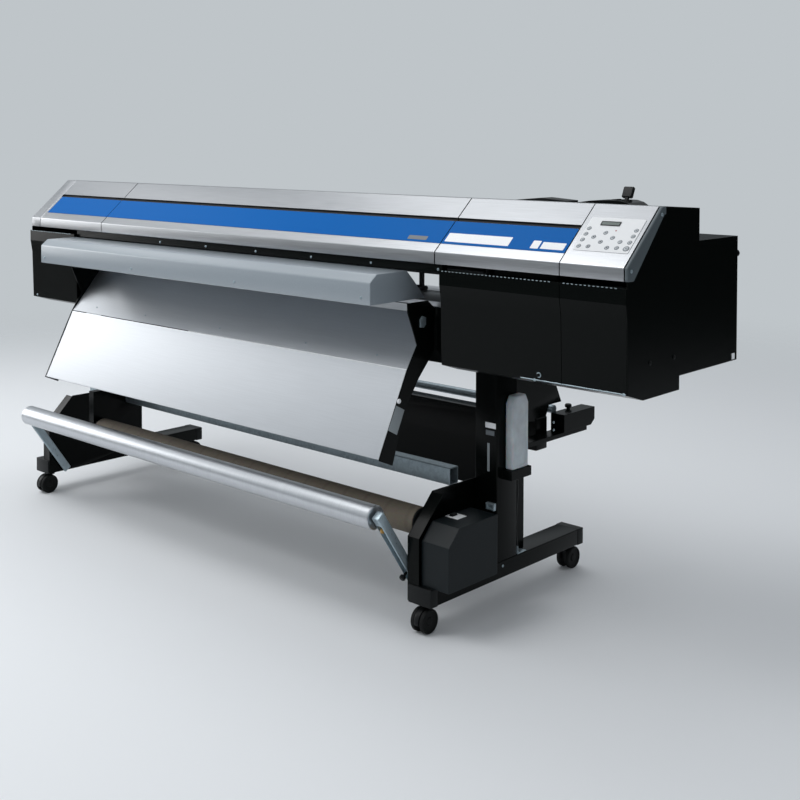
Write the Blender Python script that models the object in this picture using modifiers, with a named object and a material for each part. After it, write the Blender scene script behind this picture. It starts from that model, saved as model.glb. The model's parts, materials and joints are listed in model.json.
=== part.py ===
"""Wide-format printer cutter on its stand, with a take-up unit and a media roll rack.

Metres, +Z up.  X runs along the machine, seen from the front with the controls at +X.
The origin is on the floor, below the middle of the machine's box.  "Depth" is measured
rearwards from the front plane of the top covers, which lies at FRONT.
"""
from math import atan2, cos, pi, radians, sin

import bmesh
import bpy
from mathutils import Vector

# ---- driving dimensions -----------------------------------------------------------------
BODY_WIDTH = 2.885            # end cap to end cap
FRONT = -0.2731               # Y of the covers' front plane
SHEET = 0.002                 # folded steel covers
PANEL_PLATE = 0.004           # end panels
GAP = 0.0003                  # between pieces that touch
SEAM = 0.0016                 # visible seam between two covers

LIP_BOTTOM = 1.0665           # height of the covers' front lip, bottom and top
LIP_TOP = 1.103
SLOPE_TOP = 1.254             # height and depth where the sloped front ends
SLOPE_DEPTH = 0.171
LAND_DEPTH = 0.190            # flat land behind the slope, up to the rear cover
BACK_DEPTH = 0.3697           # depth and height of the rear upper edge
BACK_TOP = 1.243
BACK_BOTTOM = 0.998

LEFT_CAP = 0.067              # widths of the top covers, from the left end
LEFT_COVER = 0.4434
RIGHT_COVER = 0.4418          # and from the right end
CONTROL_WIDTH = 0.2015
RIGHT_CAP = 0.0115

LEFT_BAY = 0.330              # width of the closed bay at each end of the body
RIGHT_BAY = 0.631
OUTER_BAY = 0.2065            # the part of the right bay that is closed by its own cover
UNDERSIDE = 0.750             # height of the bays' underside
BOX_DEPTH = 0.597             # depth, top and bottom of the box behind the right bay
BOX_TOP = 1.152
BOX_BOTTOM = 0.7885
BOX_WIDTH = 0.585

PLATEN_TOP = 0.940
PLATEN_THICK = 0.018
FEED_DEPTH = 0.275            # depth of the grit roller's axis
FEED_RADIUS = 0.014
PINCH_RADIUS = 0.008
PINCH_COUNT = 9
CARRIAGE_WIDTH = 0.270
CARRIAGE_PARK = 1.030         # X of the carriage's middle when parked

HOOD_WIDTH = 1.786
HOOD_MIDDLE = -0.2175
HOOD_TOP = 1.039
APRON_WIDTH = 1.800
APRON_MIDDLE = -0.2045

STAND_MIDDLE = -0.217         # X of the middle of the stand
LEG_INSET = 0.422             # of the legs' middles from the ends of the body, on average
LEG_SPAN = BODY_WIDTH - 2 * LEG_INSET
FOOT_WIDTH = 0.086
FOOT_LENGTH = 0.770
FOOT_FRONT = -0.080           # depth of the feet's front ends
FOOT_BOTTOM = 0.085
FOOT_TOP = 0.137
COLUMN_WIDTH = 0.086
COLUMN_FRONT = 0.225          # depth
COLUMN_DEPTH = 0.100
LEG_WALL = 0.004              # of the feet's and columns' square tube
WHEEL_RADIUS = 0.036
WHEEL_WIDTH = 0.048
CASTER_TRAIL = 0.019
CASTER_INSET = 0.040          # from the foot's end to the swivel's axis

WEB_INSET = 0.006             # from the foot's inner face to the take-up plate's inner face
FLANGE_WIDTH = 0.041
BEAM_HEIGHT = 0.052
BEAM_DEPTH = 0.042
BEAM_WALL = 0.003
BEAM_BOTTOM = 0.3835
CORE_RADIUS = 0.042
CORE_BORE = 0.0381
CORE_LENGTH = 1.657
CORE_DEPTH = -0.008
CORE_HEIGHT = 0.300
DANCER_RADIUS = 0.036
DANCER_WALL = 0.0025
DANCER_AXLE = 0.006
LEFT_DANCER_ARM = (0.0035, 0.0105)     # clearance to the take-up plate, and width
RIGHT_DANCER_ARM = (0.007, 0.027)
DANCER_ARM = 0.2896           # pivot to roller axis
DANCER_TILT = radians(34.7)
DANCER_PIVOT = (-0.010, 0.105)
ROLL_ARM_REAR = 0.757         # depth
ROLL_ARM_WIDTH = 0.054
BAR_RADIUS = 0.014
LEVER_TILT = radians(-25)

LEFT = -BODY_WIDTH / 2
RIGHT = BODY_WIDTH / 2
SLOPE = atan2(SLOPE_TOP - LIP_TOP, SLOPE_DEPTH)
LEG_LEFT = STAND_MIDDLE - LEG_SPAN / 2
LEG_RIGHT = STAND_MIDDLE + LEG_SPAN / 2
BAY_INNER_LEFT = LEFT + LEFT_BAY
BAY_INNER_RIGHT = RIGHT - RIGHT_BAY
FRONT_COVER_LEFT = LEFT + LEFT_CAP + LEFT_COVER
CONTROL_LEFT = RIGHT - RIGHT_CAP - CONTROL_WIDTH
FRONT_COVER_RIGHT = CONTROL_LEFT - RIGHT_COVER

# colour, roughness, metallic
FINISHES = {
    "black_paint": ((0.012, 0.015, 0.016), 0.5, 0.0),
    "grey_paint": ((0.27, 0.31, 0.34), 0.45, 0.0),
    "brushed_steel": ((0.55, 0.56, 0.57), 0.3, 1.0),
    "galvanised": ((0.5, 0.53, 0.56), 0.45, 1.0),
    "aluminium": ((0.68, 0.7, 0.72), 0.35, 1.0),
    "blue_film": ((0.012, 0.12, 0.47), 0.35, 0.0),
    "grey_plastic": ((0.3, 0.32, 0.33), 0.5, 0.0),
    "black_plastic": ((0.015, 0.015, 0.017), 0.45, 0.0),
    "white_film": ((0.75, 0.77, 0.78), 0.4, 0.0),
    "rubber": ((0.02, 0.02, 0.02), 0.8, 0.0),
    "cardboard": ((0.42, 0.31, 0.21), 0.85, 0.0),
    "milky_plastic": ((0.62, 0.66, 0.67), 0.4, 0.0),
}


# ---- helpers ----------------------------------------------------------------------------
def new_collection(name):
    collection = bpy.data.collections.new(name)
    bpy.context.scene.collection.children.link(collection)
    return collection


def clear_scene():
    for obj in list(bpy.data.objects):
        bpy.data.objects.remove(obj, do_unlink=True)


def finish(obj, name):
    colour, roughness, metallic = FINISHES[name]
    material = bpy.data.materials.new(f"{obj.name}_{name}")
    material.use_nodes = True
    shader = material.node_tree.nodes["Principled BSDF"]
    shader.inputs["Base Color"].default_value = (*colour, 1.0)
    shader.inputs["Roughness"].default_value = roughness
    shader.inputs["Metallic"].default_value = metallic
    obj.data.materials.append(material)


def add_object(name, mesh, look, parent=None):
    """A piece of the model, or a cutter when it has no look."""
    obj = bpy.data.objects.new(name, mesh)
    if look is None:
        cutters.objects.link(obj)
        obj.hide_render = True
        obj.display_type = "WIRE"
    else:
        parts.objects.link(obj)
        finish(obj, look)
    obj.parent = parent
    return obj


def mesh_from(bm, name, smooth=None):
    mesh = bpy.data.meshes.new(name)
    bm.normal_update()
    bm.to_mesh(mesh)
    bm.free()
    if smooth is not None:
        mesh.shade_smooth()
        mesh.set_sharp_from_angle(angle=smooth)
    return mesh


def pivot(name, x, depth, height, tilt=0.0, parent=None):
    """An empty on a joint's axis, or a guide that pieces are placed from."""
    empty = bpy.data.objects.new(name, None)
    parts.objects.link(empty)
    empty.location = (x, FRONT + depth, height)
    empty.rotation_euler.x = tilt
    empty.empty_display_size = 0.05
    empty.parent = parent
    return empty


def bevel(obj, width, segments=1):
    rounding = obj.modifiers.new("edges", "BEVEL")
    rounding.width = width
    rounding.segments = segments
    rounding.limit_method = "ANGLE"
    rounding.angle_limit = radians(40)
    return obj


def boolean(obj, other, operation="DIFFERENCE"):
    step = obj.modifiers.new(operation.lower(), "BOOLEAN")
    step.operation = operation
    step.solver = "EXACT"
    step.object = other
    return obj


def cut(obj, *tools):
    for tool in tools:
        boolean(obj, tool)
    return obj


def join(obj, *others):
    for other in others:
        boolean(obj, other, "UNION")
    return obj


def block(name, x, y, z, look, parent=None, edge=0.0):
    """A box from its three (low, high) ranges.  Without a parent, y is a depth."""
    low = Vector((x[0], y[0], z[0]))
    high = Vector((x[1], y[1], z[1]))
    bm = bmesh.new()
    bmesh.ops.create_cube(bm, size=1.0)
    bmesh.ops.scale(bm, vec=high - low, verts=bm.verts)
    obj = add_object(name, mesh_from(bm, name), look, parent)
    obj.location = (low + high) / 2
    if parent is None:
        obj.location.y += FRONT
    return bevel(obj, edge) if edge else obj


def prism(name, outline, x, look, parent=None, edge=0.0):
    """A flat outline of (depth, height) points, as thick as the range x."""
    curve = bpy.data.curves.new(name, "CURVE")
    curve.dimensions = "2D"
    curve.fill_mode = "BOTH"
    curve.extrude = (x[1] - x[0]) / 2
    spline = curve.splines.new("POLY")
    spline.points.add(len(outline) - 1)
    for point, (depth, height) in zip(spline.points, outline):
        point.co = (depth, height, 0.0, 1.0)
    spline.use_cyclic_u = True
    guide = bpy.data.objects.new(name + "_outline", curve)
    parts.objects.link(guide)
    # local X, Y, Z of the outline become world Y, Z, X
    guide.rotation_euler = (pi / 2, 0.0, pi / 2)
    guide.location = ((x[0] + x[1]) / 2, 0.0 if parent else FRONT, 0.0)
    bpy.context.view_layer.update()
    graph = bpy.context.evaluated_depsgraph_get()
    mesh = bpy.data.meshes.new_from_object(guide.evaluated_get(graph))
    bm = bmesh.new()
    bm.from_mesh(mesh)
    bmesh.ops.remove_doubles(bm, verts=bm.verts, dist=1e-6)
    bmesh.ops.recalc_face_normals(bm, faces=bm.faces)
    bm.to_mesh(mesh)
    bm.free()
    mesh.name = name
    matrix = guide.matrix_world.copy()
    bpy.data.objects.remove(guide)
    obj = add_object(name, mesh, look, parent)
    obj.matrix_basis = matrix
    return bevel(obj, edge) if edge else obj


def folded_sheet(name, folds, x, look, thickness=SHEET, parent=None, edge=0.0):
    """A sheet bent along X.  The folds run so that the outside is on their left,
    seen from the +X end: up the front, back over the top, down the rear."""
    bm = bmesh.new()
    chain = [bm.verts.new((x[0], depth, height)) for depth, height in folds]
    edges = [bm.edges.new(pair) for pair in zip(chain, chain[1:])]
    made = bmesh.ops.extrude_edge_only(bm, edges=edges)["geom"]
    moved = [item for item in made if isinstance(item, bmesh.types.BMVert)]
    bmesh.ops.translate(bm, verts=moved, vec=(x[1] - x[0], 0.0, 0.0))
    bm.faces.ensure_lookup_table()
    bm.normal_update()
    run = Vector(folds[1]) - Vector(folds[0])
    outside = Vector((0.0, -run.y, run.x))
    first = min(bm.faces, key=lambda face: (face.calc_center_median().yz
                                            - (Vector(folds[0]) + Vector(folds[1])) / 2).length)
    if first.normal.dot(outside) < 0:
        bmesh.ops.reverse_faces(bm, faces=bm.faces)
    obj = add_object(name, mesh_from(bm, name), look, parent)
    obj.location.y = 0.0 if parent else FRONT
    wall = obj.modifiers.new("thickness", "SOLIDIFY")
    wall.thickness = thickness
    wall.offset = -1.0
    wall.use_even_offset = True
    return bevel(obj, edge) if edge else obj


def rod(name, x, depth, height, radius, look, parent=None, sides=20, axis="X"):
    """A round bar.  x is its (low, high) range along its axis."""
    length = x[1] - x[0]
    bm = bmesh.new()
    bmesh.ops.create_cone(bm, cap_ends=True, segments=sides, radius1=radius, radius2=radius,
                          depth=length)
    obj = add_object(name, mesh_from(bm, name, radians(40)), look, parent)
    middle = (x[0] + x[1]) / 2
    if axis == "X":
        obj.rotation_euler.y = pi / 2
        obj.location = (middle, depth, height)
    elif axis == "Z":
        obj.location = (depth, height, middle)
    if parent is None:
        obj.location.y += FRONT
    return obj


def turned(name, profile, x, depth, height, look, parent=None, steps=20, closed=False):
    """A body turned about an axis along X.  The profile is (radius, position) from the
    +X end down its outer side, placed with position 0 at x."""
    bm = bmesh.new()
    chain = [bm.verts.new((radius, 0.0, position)) for radius, position in profile]
    for pair in zip(chain, chain[1:]):
        bm.edges.new(pair)
    if closed:
        bm.edges.new((chain[-1], chain[0]))
    obj = add_object(name, mesh_from(bm, name), look, parent)
    spin = obj.modifiers.new("turn", "SCREW")
    spin.axis = "Z"
    spin.angle = 2 * pi
    spin.steps = spin.render_steps = steps
    spin.use_merge_vertices = True
    spin.merge_threshold = 1e-5
    spin.use_smooth_shade = True
    obj.rotation_euler.y = pi / 2
    obj.location = (x, depth, height)
    if parent is None:
        obj.location.y += FRONT
    return obj


def inset(outline, wall):
    """A convex outline moved inwards by a wall's thickness."""
    count = len(outline)
    points = [Vector(point) for point in outline]
    middle = sum(points, Vector((0.0, 0.0))) / count
    lines = []
    for start, end in zip(points, points[1:] + points[:1]):
        run = (end - start).normalized()
        normal = Vector((-run.y, run.x))
        if normal.dot(middle - start) < 0:
            normal = -normal
        lines.append((start + normal * wall, run))
    inner = []
    for index in range(count):
        start, run = lines[index - 1]
        other, along = lines[index]
        share = (other - start).cross(along) / run.cross(along)
        inner.append(tuple(start + run * share))
    return inner


def on_slope(distance, lift=0.0):
    """Depth and height of a point up the sloped front, lifted off its surface."""
    return (distance * cos(SLOPE) - lift * sin(SLOPE),
            LIP_TOP + distance * sin(SLOPE) + lift * cos(SLOPE))


# ---- body -------------------------------------------------------------------------------
GROOVE = (0.128, 0.143)       # up the slope
GROOVE_DEPTH = 0.005
BLUE = (0.034, 0.1272)        # up the slope
BLUE_FILM = 0.0007
COVER_FRONT = -0.0078         # depth of the lower covers' upper front
COVER_SHOULDER = 1.008        # the height where it starts to slope back
COVER_WAIST = (0.000, 0.960)
COVER_FOOT = (0.005, 0.773)
COVER_TOP = 1.050
BAND = 0.022                  # depth of the end caps' band, square to the slope
STEP_DEPTH = 0.2655
BEAM_FRONT = 0.1075


def top_cover_folds(grooved=True):
    folds = [(0.0, LIP_BOTTOM), (0.0, LIP_TOP)]
    if grooved:
        low, high = GROOVE
        folds += [on_slope(low), on_slope(low, -GROOVE_DEPTH), on_slope(high, -GROOVE_DEPTH),
                  on_slope(high)]
    return folds + [(SLOPE_DEPTH, SLOPE_TOP), (LAND_DEPTH, SLOPE_TOP)]


def end_cap_outline():
    band_low = (0.030, LIP_BOTTOM)
    return [(0.0, LIP_BOTTOM), (0.0, LIP_TOP), (SLOPE_DEPTH, SLOPE_TOP),
            (LAND_DEPTH, SLOPE_TOP), (LAND_DEPTH, SLOPE_TOP - BAND),
            (LAND_DEPTH - 0.009, SLOPE_TOP - BAND), band_low]


def side_outline(rear):
    """The end panel's outline under the end cap; rear is where its lower part ends."""
    cap = end_cap_outline()
    clear = GAP * 1.5
    outline = [(0.0, COVER_TOP), (COVER_FRONT, COVER_TOP), (COVER_FRONT, COVER_SHOULDER),
               COVER_WAIST, COVER_FOOT, (0.079, UNDERSIDE), (STEP_DEPTH, UNDERSIDE),
               (STEP_DEPTH, BOX_BOTTOM), (rear, BOX_BOTTOM)]
    if rear > BACK_DEPTH:
        outline += [(rear, BOX_TOP), (BACK_DEPTH, BOX_TOP)]
    outline += [(BACK_DEPTH, BACK_TOP), (LAND_DEPTH + GAP, SLOPE_TOP - 0.001),
                (LAND_DEPTH + GAP, cap[4][1] - GAP), (cap[5][0] + clear, cap[5][1] - GAP),
                (cap[6][0] + clear, LIP_BOTTOM - GAP), (0.0, LIP_BOTTOM - GAP)]
    return outline


def lower_cover_folds():
    return [(BACK_DEPTH, BACK_BOTTOM - GAP), (BACK_DEPTH, BOX_BOTTOM), (STEP_DEPTH, BOX_BOTTOM),
            (STEP_DEPTH, UNDERSIDE), (0.079, UNDERSIDE), COVER_FOOT, COVER_WAIST,
            (COVER_FRONT, COVER_SHOULDER), (COVER_FRONT, COVER_TOP), (0.030, COVER_TOP)]


def make_chassis():
    inner = (LEFT + PANEL_PLATE + GAP, RIGHT - PANEL_PLATE - GAP)
    beam = block("chassis_beam", inner, (BEAM_FRONT, 0.250),
                 (UNDERSIDE + SHEET + GAP, PLATEN_TOP - PLATEN_THICK - GAP), "black_paint",
                 edge=0.002)
    wall = 0.004
    cut(beam, block("chassis_hollow", (inner[0] - 0.01, inner[1] + 0.01),
                    (BEAM_FRONT + wall, 0.250 - wall),
                    (UNDERSIDE + SHEET + GAP + wall, PLATEN_TOP - PLATEN_THICK - GAP - wall),
                    None))
    prism("left_side_panel", side_outline(BACK_DEPTH), (LEFT, LEFT + PANEL_PLATE), "black_paint")
    prism("right_side_panel", side_outline(BOX_DEPTH), (RIGHT - PANEL_PLATE, RIGHT), "black_paint")
    block("front_rail", (BAY_INNER_LEFT + GAP, BAY_INNER_RIGHT - GAP), (0.006, 0.030),
          (HOOD_TOP + 0.002, LIP_BOTTOM - GAP), "black_paint", edge=0.001)


def make_lower_covers():
    folds = lower_cover_folds()
    inside = LEFT + PANEL_PLATE + GAP
    folded_sheet("left_lower_cover", folds, (inside, BAY_INNER_LEFT), "black_paint")
    seam = RIGHT - OUTER_BAY
    folded_sheet("right_lower_cover_inner", folds, (BAY_INNER_RIGHT, seam - SEAM / 2),
                 "black_paint")
    folded_sheet("right_lower_cover_outer", folds,
                 (seam + SEAM / 2, RIGHT - PANEL_PLATE - GAP), "black_paint")
    right = RIGHT - PANEL_PLATE - GAP
    box = block("rear_box", (RIGHT - BOX_WIDTH, right), (BACK_DEPTH + GAP, BOX_DEPTH),
                (BOX_BOTTOM, BOX_TOP), "black_paint", edge=0.001)
    cut(box, block("rear_box_hollow", (RIGHT - BOX_WIDTH + SHEET, right - SHEET),
                   (BACK_DEPTH - 0.02, BOX_DEPTH - SHEET),
                   (BOX_BOTTOM + SHEET, BOX_TOP - SHEET), None))


def make_top_covers():
    cap = end_cap_outline()
    prism("left_end_cap", cap, (LEFT, LEFT + LEFT_CAP - SEAM / 2), "brushed_steel")
    prism("right_end_cap", cap, (RIGHT - RIGHT_CAP + SEAM / 2, RIGHT), "grey_plastic")
    folds = top_cover_folds()
    folded_sheet("left_top_cover", folds,
                 (LEFT + LEFT_CAP + SEAM / 2, FRONT_COVER_LEFT - SEAM / 2), "brushed_steel")
    folded_sheet("right_top_cover", folds,
                 (FRONT_COVER_RIGHT + SEAM / 2, CONTROL_LEFT - SEAM / 2), "brushed_steel")
    folded_sheet("control_panel_housing", top_cover_folds(grooved=False),
                 (CONTROL_LEFT + SEAM / 2, RIGHT - RIGHT_CAP - SEAM / 2), "brushed_steel")
    hinge = pivot("front_cover_hinge", (FRONT_COVER_LEFT + FRONT_COVER_RIGHT) / 2,
                  LAND_DEPTH - 0.004, SLOPE_TOP - 0.004)
    half = (FRONT_COVER_RIGHT - FRONT_COVER_LEFT - SEAM) / 2
    from_hinge = [(depth - LAND_DEPTH + 0.004, height - SLOPE_TOP + 0.004)
                  for depth, height in folds]
    folded_sheet("front_cover", from_hinge, (-half, half), "brushed_steel", parent=hinge)
    lift = GAP
    for name, low, high in (("left_blue_strip", LEFT + LEFT_CAP + 0.012, FRONT_COVER_LEFT),
                            ("right_blue_strip", FRONT_COVER_RIGHT, CONTROL_LEFT)):
        slope = pivot(name + "_place", (low + high) / 2, *on_slope(BLUE[0]), tilt=SLOPE)
        reach = (high - low) / 2 - SEAM
        block(name, (-reach, reach), (0.0, BLUE[1] - BLUE[0]), (lift, lift + BLUE_FILM),
              "blue_film", parent=slope)
    depth, height = on_slope(BLUE[0])
    slope = pivot("front_blue_strip_place", 0.0, 0.0, 0.0, tilt=SLOPE, parent=hinge)
    slope.location = (0.0, depth - LAND_DEPTH + 0.004, height - SLOPE_TOP + 0.004)
    block("front_blue_strip", (-half + SEAM / 2, half - SEAM / 2), (0.0, BLUE[1] - BLUE[0]),
          (lift, lift + BLUE_FILM), "blue_film", parent=slope)


# ---- controls ---------------------------------------------------------------------------
OVERLAY_SIZE = (0.171, 0.127)
OVERLAY_FILM = 0.0009
OVERLAY_LOW = 0.049           # up the slope
KEY_PITCH = 0.0294
KEY_RADIUS = 0.006
KEY_RISE = 0.0006
KEY_COLUMNS = (                # heights up the slope of the keys in each column
    (0.064, 0.088, 0.110, 0.1315),
    (0.0647, 0.1007),
    (0.0839, 0.1183),
    (0.0643, 0.1013),
    (0.0658, 0.0883),
    (0.0655, 0.0883, 0.1113, 0.1329),
)
LEVER_X = 1.258
BOSS_OUTLINE = [               # rearwards view of the boss round the lever: -X, height
    (0.141, -0.0045), (0.141, 0.000), (0.078, 0.0095), (0.020, 0.0125), (-0.024, 0.0125),
    (-0.046, 0.007), (-0.059, -0.001), (-0.059, -0.0045)]
BOSS_DEPTH = (-0.045, 0.045)  # about the lever
LEVER_DEPTH = 0.260
LEVER_PIVOT = 1.205


def make_controls():
    middle = RIGHT - RIGHT_CAP - 0.0985
    slope = pivot("control_panel_place", middle, *on_slope(OVERLAY_LOW), tilt=SLOPE)
    half = OVERLAY_SIZE[0] / 2
    top = GAP + OVERLAY_FILM
    overlay = block("control_panel_overlay", (-half, half), (0.0, OVERLAY_SIZE[1]),
                    (GAP, top), "white_film", parent=slope)
    first = -2.5 * KEY_PITCH
    for column, heights in enumerate(KEY_COLUMNS):
        for row, distance in enumerate(heights):
            join(overlay, rod(f"key_{column}_{row}", (top - OVERLAY_FILM / 2, top + KEY_RISE),
                              first + column * KEY_PITCH, distance - OVERLAY_LOW, KEY_RADIUS,
                              None, parent=slope, sides=10, axis="Z"))


def make_rear_cover():
    inner = (LEFT + PANEL_PLATE + GAP, RIGHT - PANEL_PLATE - GAP)
    front = LAND_DEPTH + 0.0022
    folds = [(front, SLOPE_TOP), (BACK_DEPTH, BACK_TOP), (BACK_DEPTH, BACK_BOTTOM)]
    cover = folded_sheet("rear_top_cover", folds, inner, "black_paint")
    place = pivot("lever_boss_place", LEVER_X, LEVER_DEPTH, 1.2495)
    place.rotation_euler.z = pi / 2
    boss = prism("lever_boss", BOSS_OUTLINE, BOSS_DEPTH, None, parent=place)
    join(cover, boss)
    cut(cover, block("lever_slot", (LEVER_X - 0.0075, LEVER_X + 0.0075),
                     (LEVER_DEPTH - 0.032, LEVER_DEPTH + 0.038), (1.20, 1.30), None))


def make_lever():
    shaft = pivot("loading_lever_pivot", LEVER_X, LEVER_DEPTH, LEVER_PIVOT, tilt=LEVER_TILT)
    paddle_low = 0.068
    paddle_high = 0.102
    lever = block("loading_lever", (-0.005, 0.005), (-0.004, 0.004), (0.0, paddle_low + 0.005),
                  "black_plastic", parent=shaft)
    paddle = block("lever_paddle", (-0.017, 0.017), (-0.006, 0.006), (paddle_low, paddle_high),
                   None, parent=shaft, edge=0.003)
    hub = rod("lever_hub", (-0.0055, 0.0055), 0.0, 0.0, 0.016, None, parent=shaft, sides=20)
    join(lever, paddle, hub)


# ---- feed and carriage ------------------------------------------------------------------
FRONT_PLATEN = 0.105          # depth of the platen's front edge
REAR_PLATEN = 0.385
RAIL_DEPTH = (0.205, 0.235)
RAIL_HEIGHT = (1.070, 1.120)
PINCH_HINGE = (0.332, PLATEN_TOP + 0.070)
TOOL_SIZE = 0.018


def make_feed():
    left = BAY_INNER_LEFT + 0.006
    right = BAY_INNER_RIGHT - 0.036
    slot = FEED_RADIUS + 0.0015
    low = PLATEN_TOP - PLATEN_THICK
    block("front_platen", (left, right), (FRONT_PLATEN, FEED_DEPTH - slot), (low, PLATEN_TOP),
          "aluminium", edge=0.002)
    folded_sheet("rear_platen", [(FEED_DEPTH + slot, PLATEN_TOP), (REAR_PLATEN, PLATEN_TOP),
                                 (REAR_PLATEN + 0.035, PLATEN_TOP - 0.012),
                                 (REAR_PLATEN + 0.060, PLATEN_TOP - 0.040),
                                 (REAR_PLATEN + 0.070, PLATEN_TOP - 0.085)],
                 (left, right), "aluminium", thickness=0.003)
    middle = (left + right) / 2
    half = (right - left) / 2 - 0.012
    journal = 0.005
    turned("grit_roller", [(0.0, half + 0.010), (journal, half + 0.010), (journal, half),
                           (FEED_RADIUS, half), (FEED_RADIUS, -half), (journal, -half),
                           (journal, -half - 0.010), (0.0, -half - 0.010)],
           middle, FEED_DEPTH, PLATEN_TOP - FEED_RADIUS, "brushed_steel", steps=20)
    hinge = pivot("pinch_bar_hinge", middle, *PINCH_HINGE)
    bar = block("pinch_roller_bar", (-half, half), (-0.072, -0.004), (-0.012, 0.012),
                "black_paint", parent=hinge, edge=0.002)
    depth = FEED_DEPTH - PINCH_HINGE[0]
    height = PLATEN_TOP + PINCH_RADIUS + GAP - PINCH_HINGE[1]
    spacing = (2 * half - 0.10) / (PINCH_COUNT - 1)
    for index in range(PINCH_COUNT):
        x = -half + 0.05 + index * spacing
        roller = rod(f"pinch_roller_{index}", (x - 0.020, x + 0.020), depth, height,
                     PINCH_RADIUS, None, parent=hinge, sides=12)
        arm = block(f"pinch_arm_{index}", (x - 0.008, x + 0.008), (depth - 0.004, depth + 0.004),
                    (height, 0.0), None, parent=hinge)
        join(bar, roller, arm)


def make_carriage():
    block("carriage_rail", (LEFT + PANEL_PLATE + GAP, RIGHT - PANEL_PLATE - GAP), RAIL_DEPTH,
          RAIL_HEIGHT, "aluminium", edge=0.002)
    half = CARRIAGE_WIDTH / 2
    place = pivot("carriage_place", CARRIAGE_PARK, 0.0, 0.0)
    place.location.y = FRONT
    low = PLATEN_TOP + 0.014
    rear = RAIL_DEPTH[0] - 0.0006
    carriage = block("print_carriage", (-half, half), (0.085, rear), (low, 1.128),
                     "black_plastic", parent=place, edge=0.003)
    cut(carriage, block("tool_well", (-half - 0.01, -half + 0.05), (0.075, 0.1125),
                        (low - 0.01, 1.14), None, parent=place))
    tool_x = -half + 0.022
    tool = turned("tool_holder", [(0.0, 0.060), (0.011, 0.060), (0.011, 0.020),
                                  (0.014, 0.018), (0.014, 0.008), (0.009, 0.004),
                                  (0.009, -0.045), (0.003, -0.052), (0.0, -0.052)],
                  tool_x, 0.097, low + 0.062, "aluminium", parent=place, steps=16)
    tool.rotation_euler.y = 0.0


# ---- hood and apron ---------------------------------------------------------------------
HOOD_OUTLINE = [(-0.155, 0.9492), (-0.155, 1.0155), (-0.127, HOOD_TOP - 0.001), (0.002, HOOD_TOP),
                (0.030, 1.011), (0.086, 0.9508)]
HOOD_WALL = 0.0022
APRON_FOLDS = [(-0.004, 0.766), (0.018, 0.792), (0.040, 0.820), (0.072, 0.859),
               (0.104, 0.898), (0.104, 0.921)]
APRON_SEAM = (-0.019, 0.749)
APRON_BOTTOM = (-0.1407, 0.500)
APRON_SHEET = 0.002
BRACKET_PLATE = 0.004
BRACKET_OUTLINE = [(-0.022, 0.945), (-0.020, 0.915), (0.0, 0.868), (0.021, 0.815),
                   (-0.021, 0.749), (-0.063, 0.664), (-0.143, 0.498), (-0.086, 0.473),
                   (-0.033, 0.629), (0.029, 0.715), (0.0997, 0.790), (0.0997, 0.920),
                   (0.070, 0.945)]


def make_hood():
    span = (HOOD_MIDDLE - HOOD_WIDTH / 2, HOOD_MIDDLE + HOOD_WIDTH / 2)
    hood = prism("dryer_hood", HOOD_OUTLINE, span, "grey_paint")
    inner = inset(HOOD_OUTLINE, HOOD_WALL)
    inner[0] = (inner[0][0], HOOD_OUTLINE[0][1] - 0.01)
    inner[-1] = (inner[-1][0] - 0.004, HOOD_OUTLINE[0][1] - 0.01)
    cut(hood, prism("hood_hollow", inner, (span[0] + HOOD_WALL, span[1] - HOOD_WALL), None))


def make_apron():
    left = APRON_MIDDLE - APRON_WIDTH / 2
    right = APRON_MIDDLE + APRON_WIDTH / 2
    folded_sheet("apron_upper", [APRON_SEAM] + APRON_FOLDS, (left, right), "aluminium",
                 thickness=APRON_SHEET)
    run = Vector(APRON_BOTTOM) - Vector(APRON_SEAM)
    start = Vector(APRON_SEAM) + run.normalized() * 0.0015
    flange = (APRON_BOTTOM[0] + 0.018, APRON_BOTTOM[1] - 0.006)
    folded_sheet("apron_lower", [flange, APRON_BOTTOM, tuple(start)], (left, right),
                 "aluminium", thickness=APRON_SHEET)
    reach = 0.002
    prism("apron_bracket_left", BRACKET_OUTLINE, (left - reach - BRACKET_PLATE, left - reach),
          "black_paint")
    prism("apron_bracket_right", BRACKET_OUTLINE, (right + reach, right + reach + BRACKET_PLATE),
          "black_paint")


# ---- stand ------------------------------------------------------------------------------
STAND_SIDES = (("left", LEG_LEFT, -1), ("right", LEG_RIGHT, 1))
BOTTLE_OUTLINE = [(0.262, 0.4205), (0.262, 0.622), (0.276, 0.648), (0.328, 0.648),
                  (0.342, 0.622), (0.342, 0.4205)]
BOTTLE_THICK = 0.030
STRUT_DEPTH = (0.362, 0.412)
STRUT_WIDTH = 0.050
STAY_DEPTH = (0.500, 0.560)
STAY_HEIGHT = (0.420, 0.525)
STAY_SHEET = 0.003
SKIRT_BOTTOM = 0.262          # of the panel that hangs below the stay
SKIRT_INSET = 0.0542          # of its ends from the stay's
RAIL_BOTTOM = 0.462
RAIL_TOP = 0.4765
ARM_BOTTOM = 0.475
ARM_TOP = 0.533
WING_OUTLINE = [(0.345, 0.545), (0.345, 0.700), (0.575, 0.700), (0.622, 0.605),
                (0.645, 0.559), (0.575, 0.559), (0.555, 0.518), (0.490, 0.518)]
BAR_DEPTH = 0.600
BAR_HEIGHT = 0.541


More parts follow.
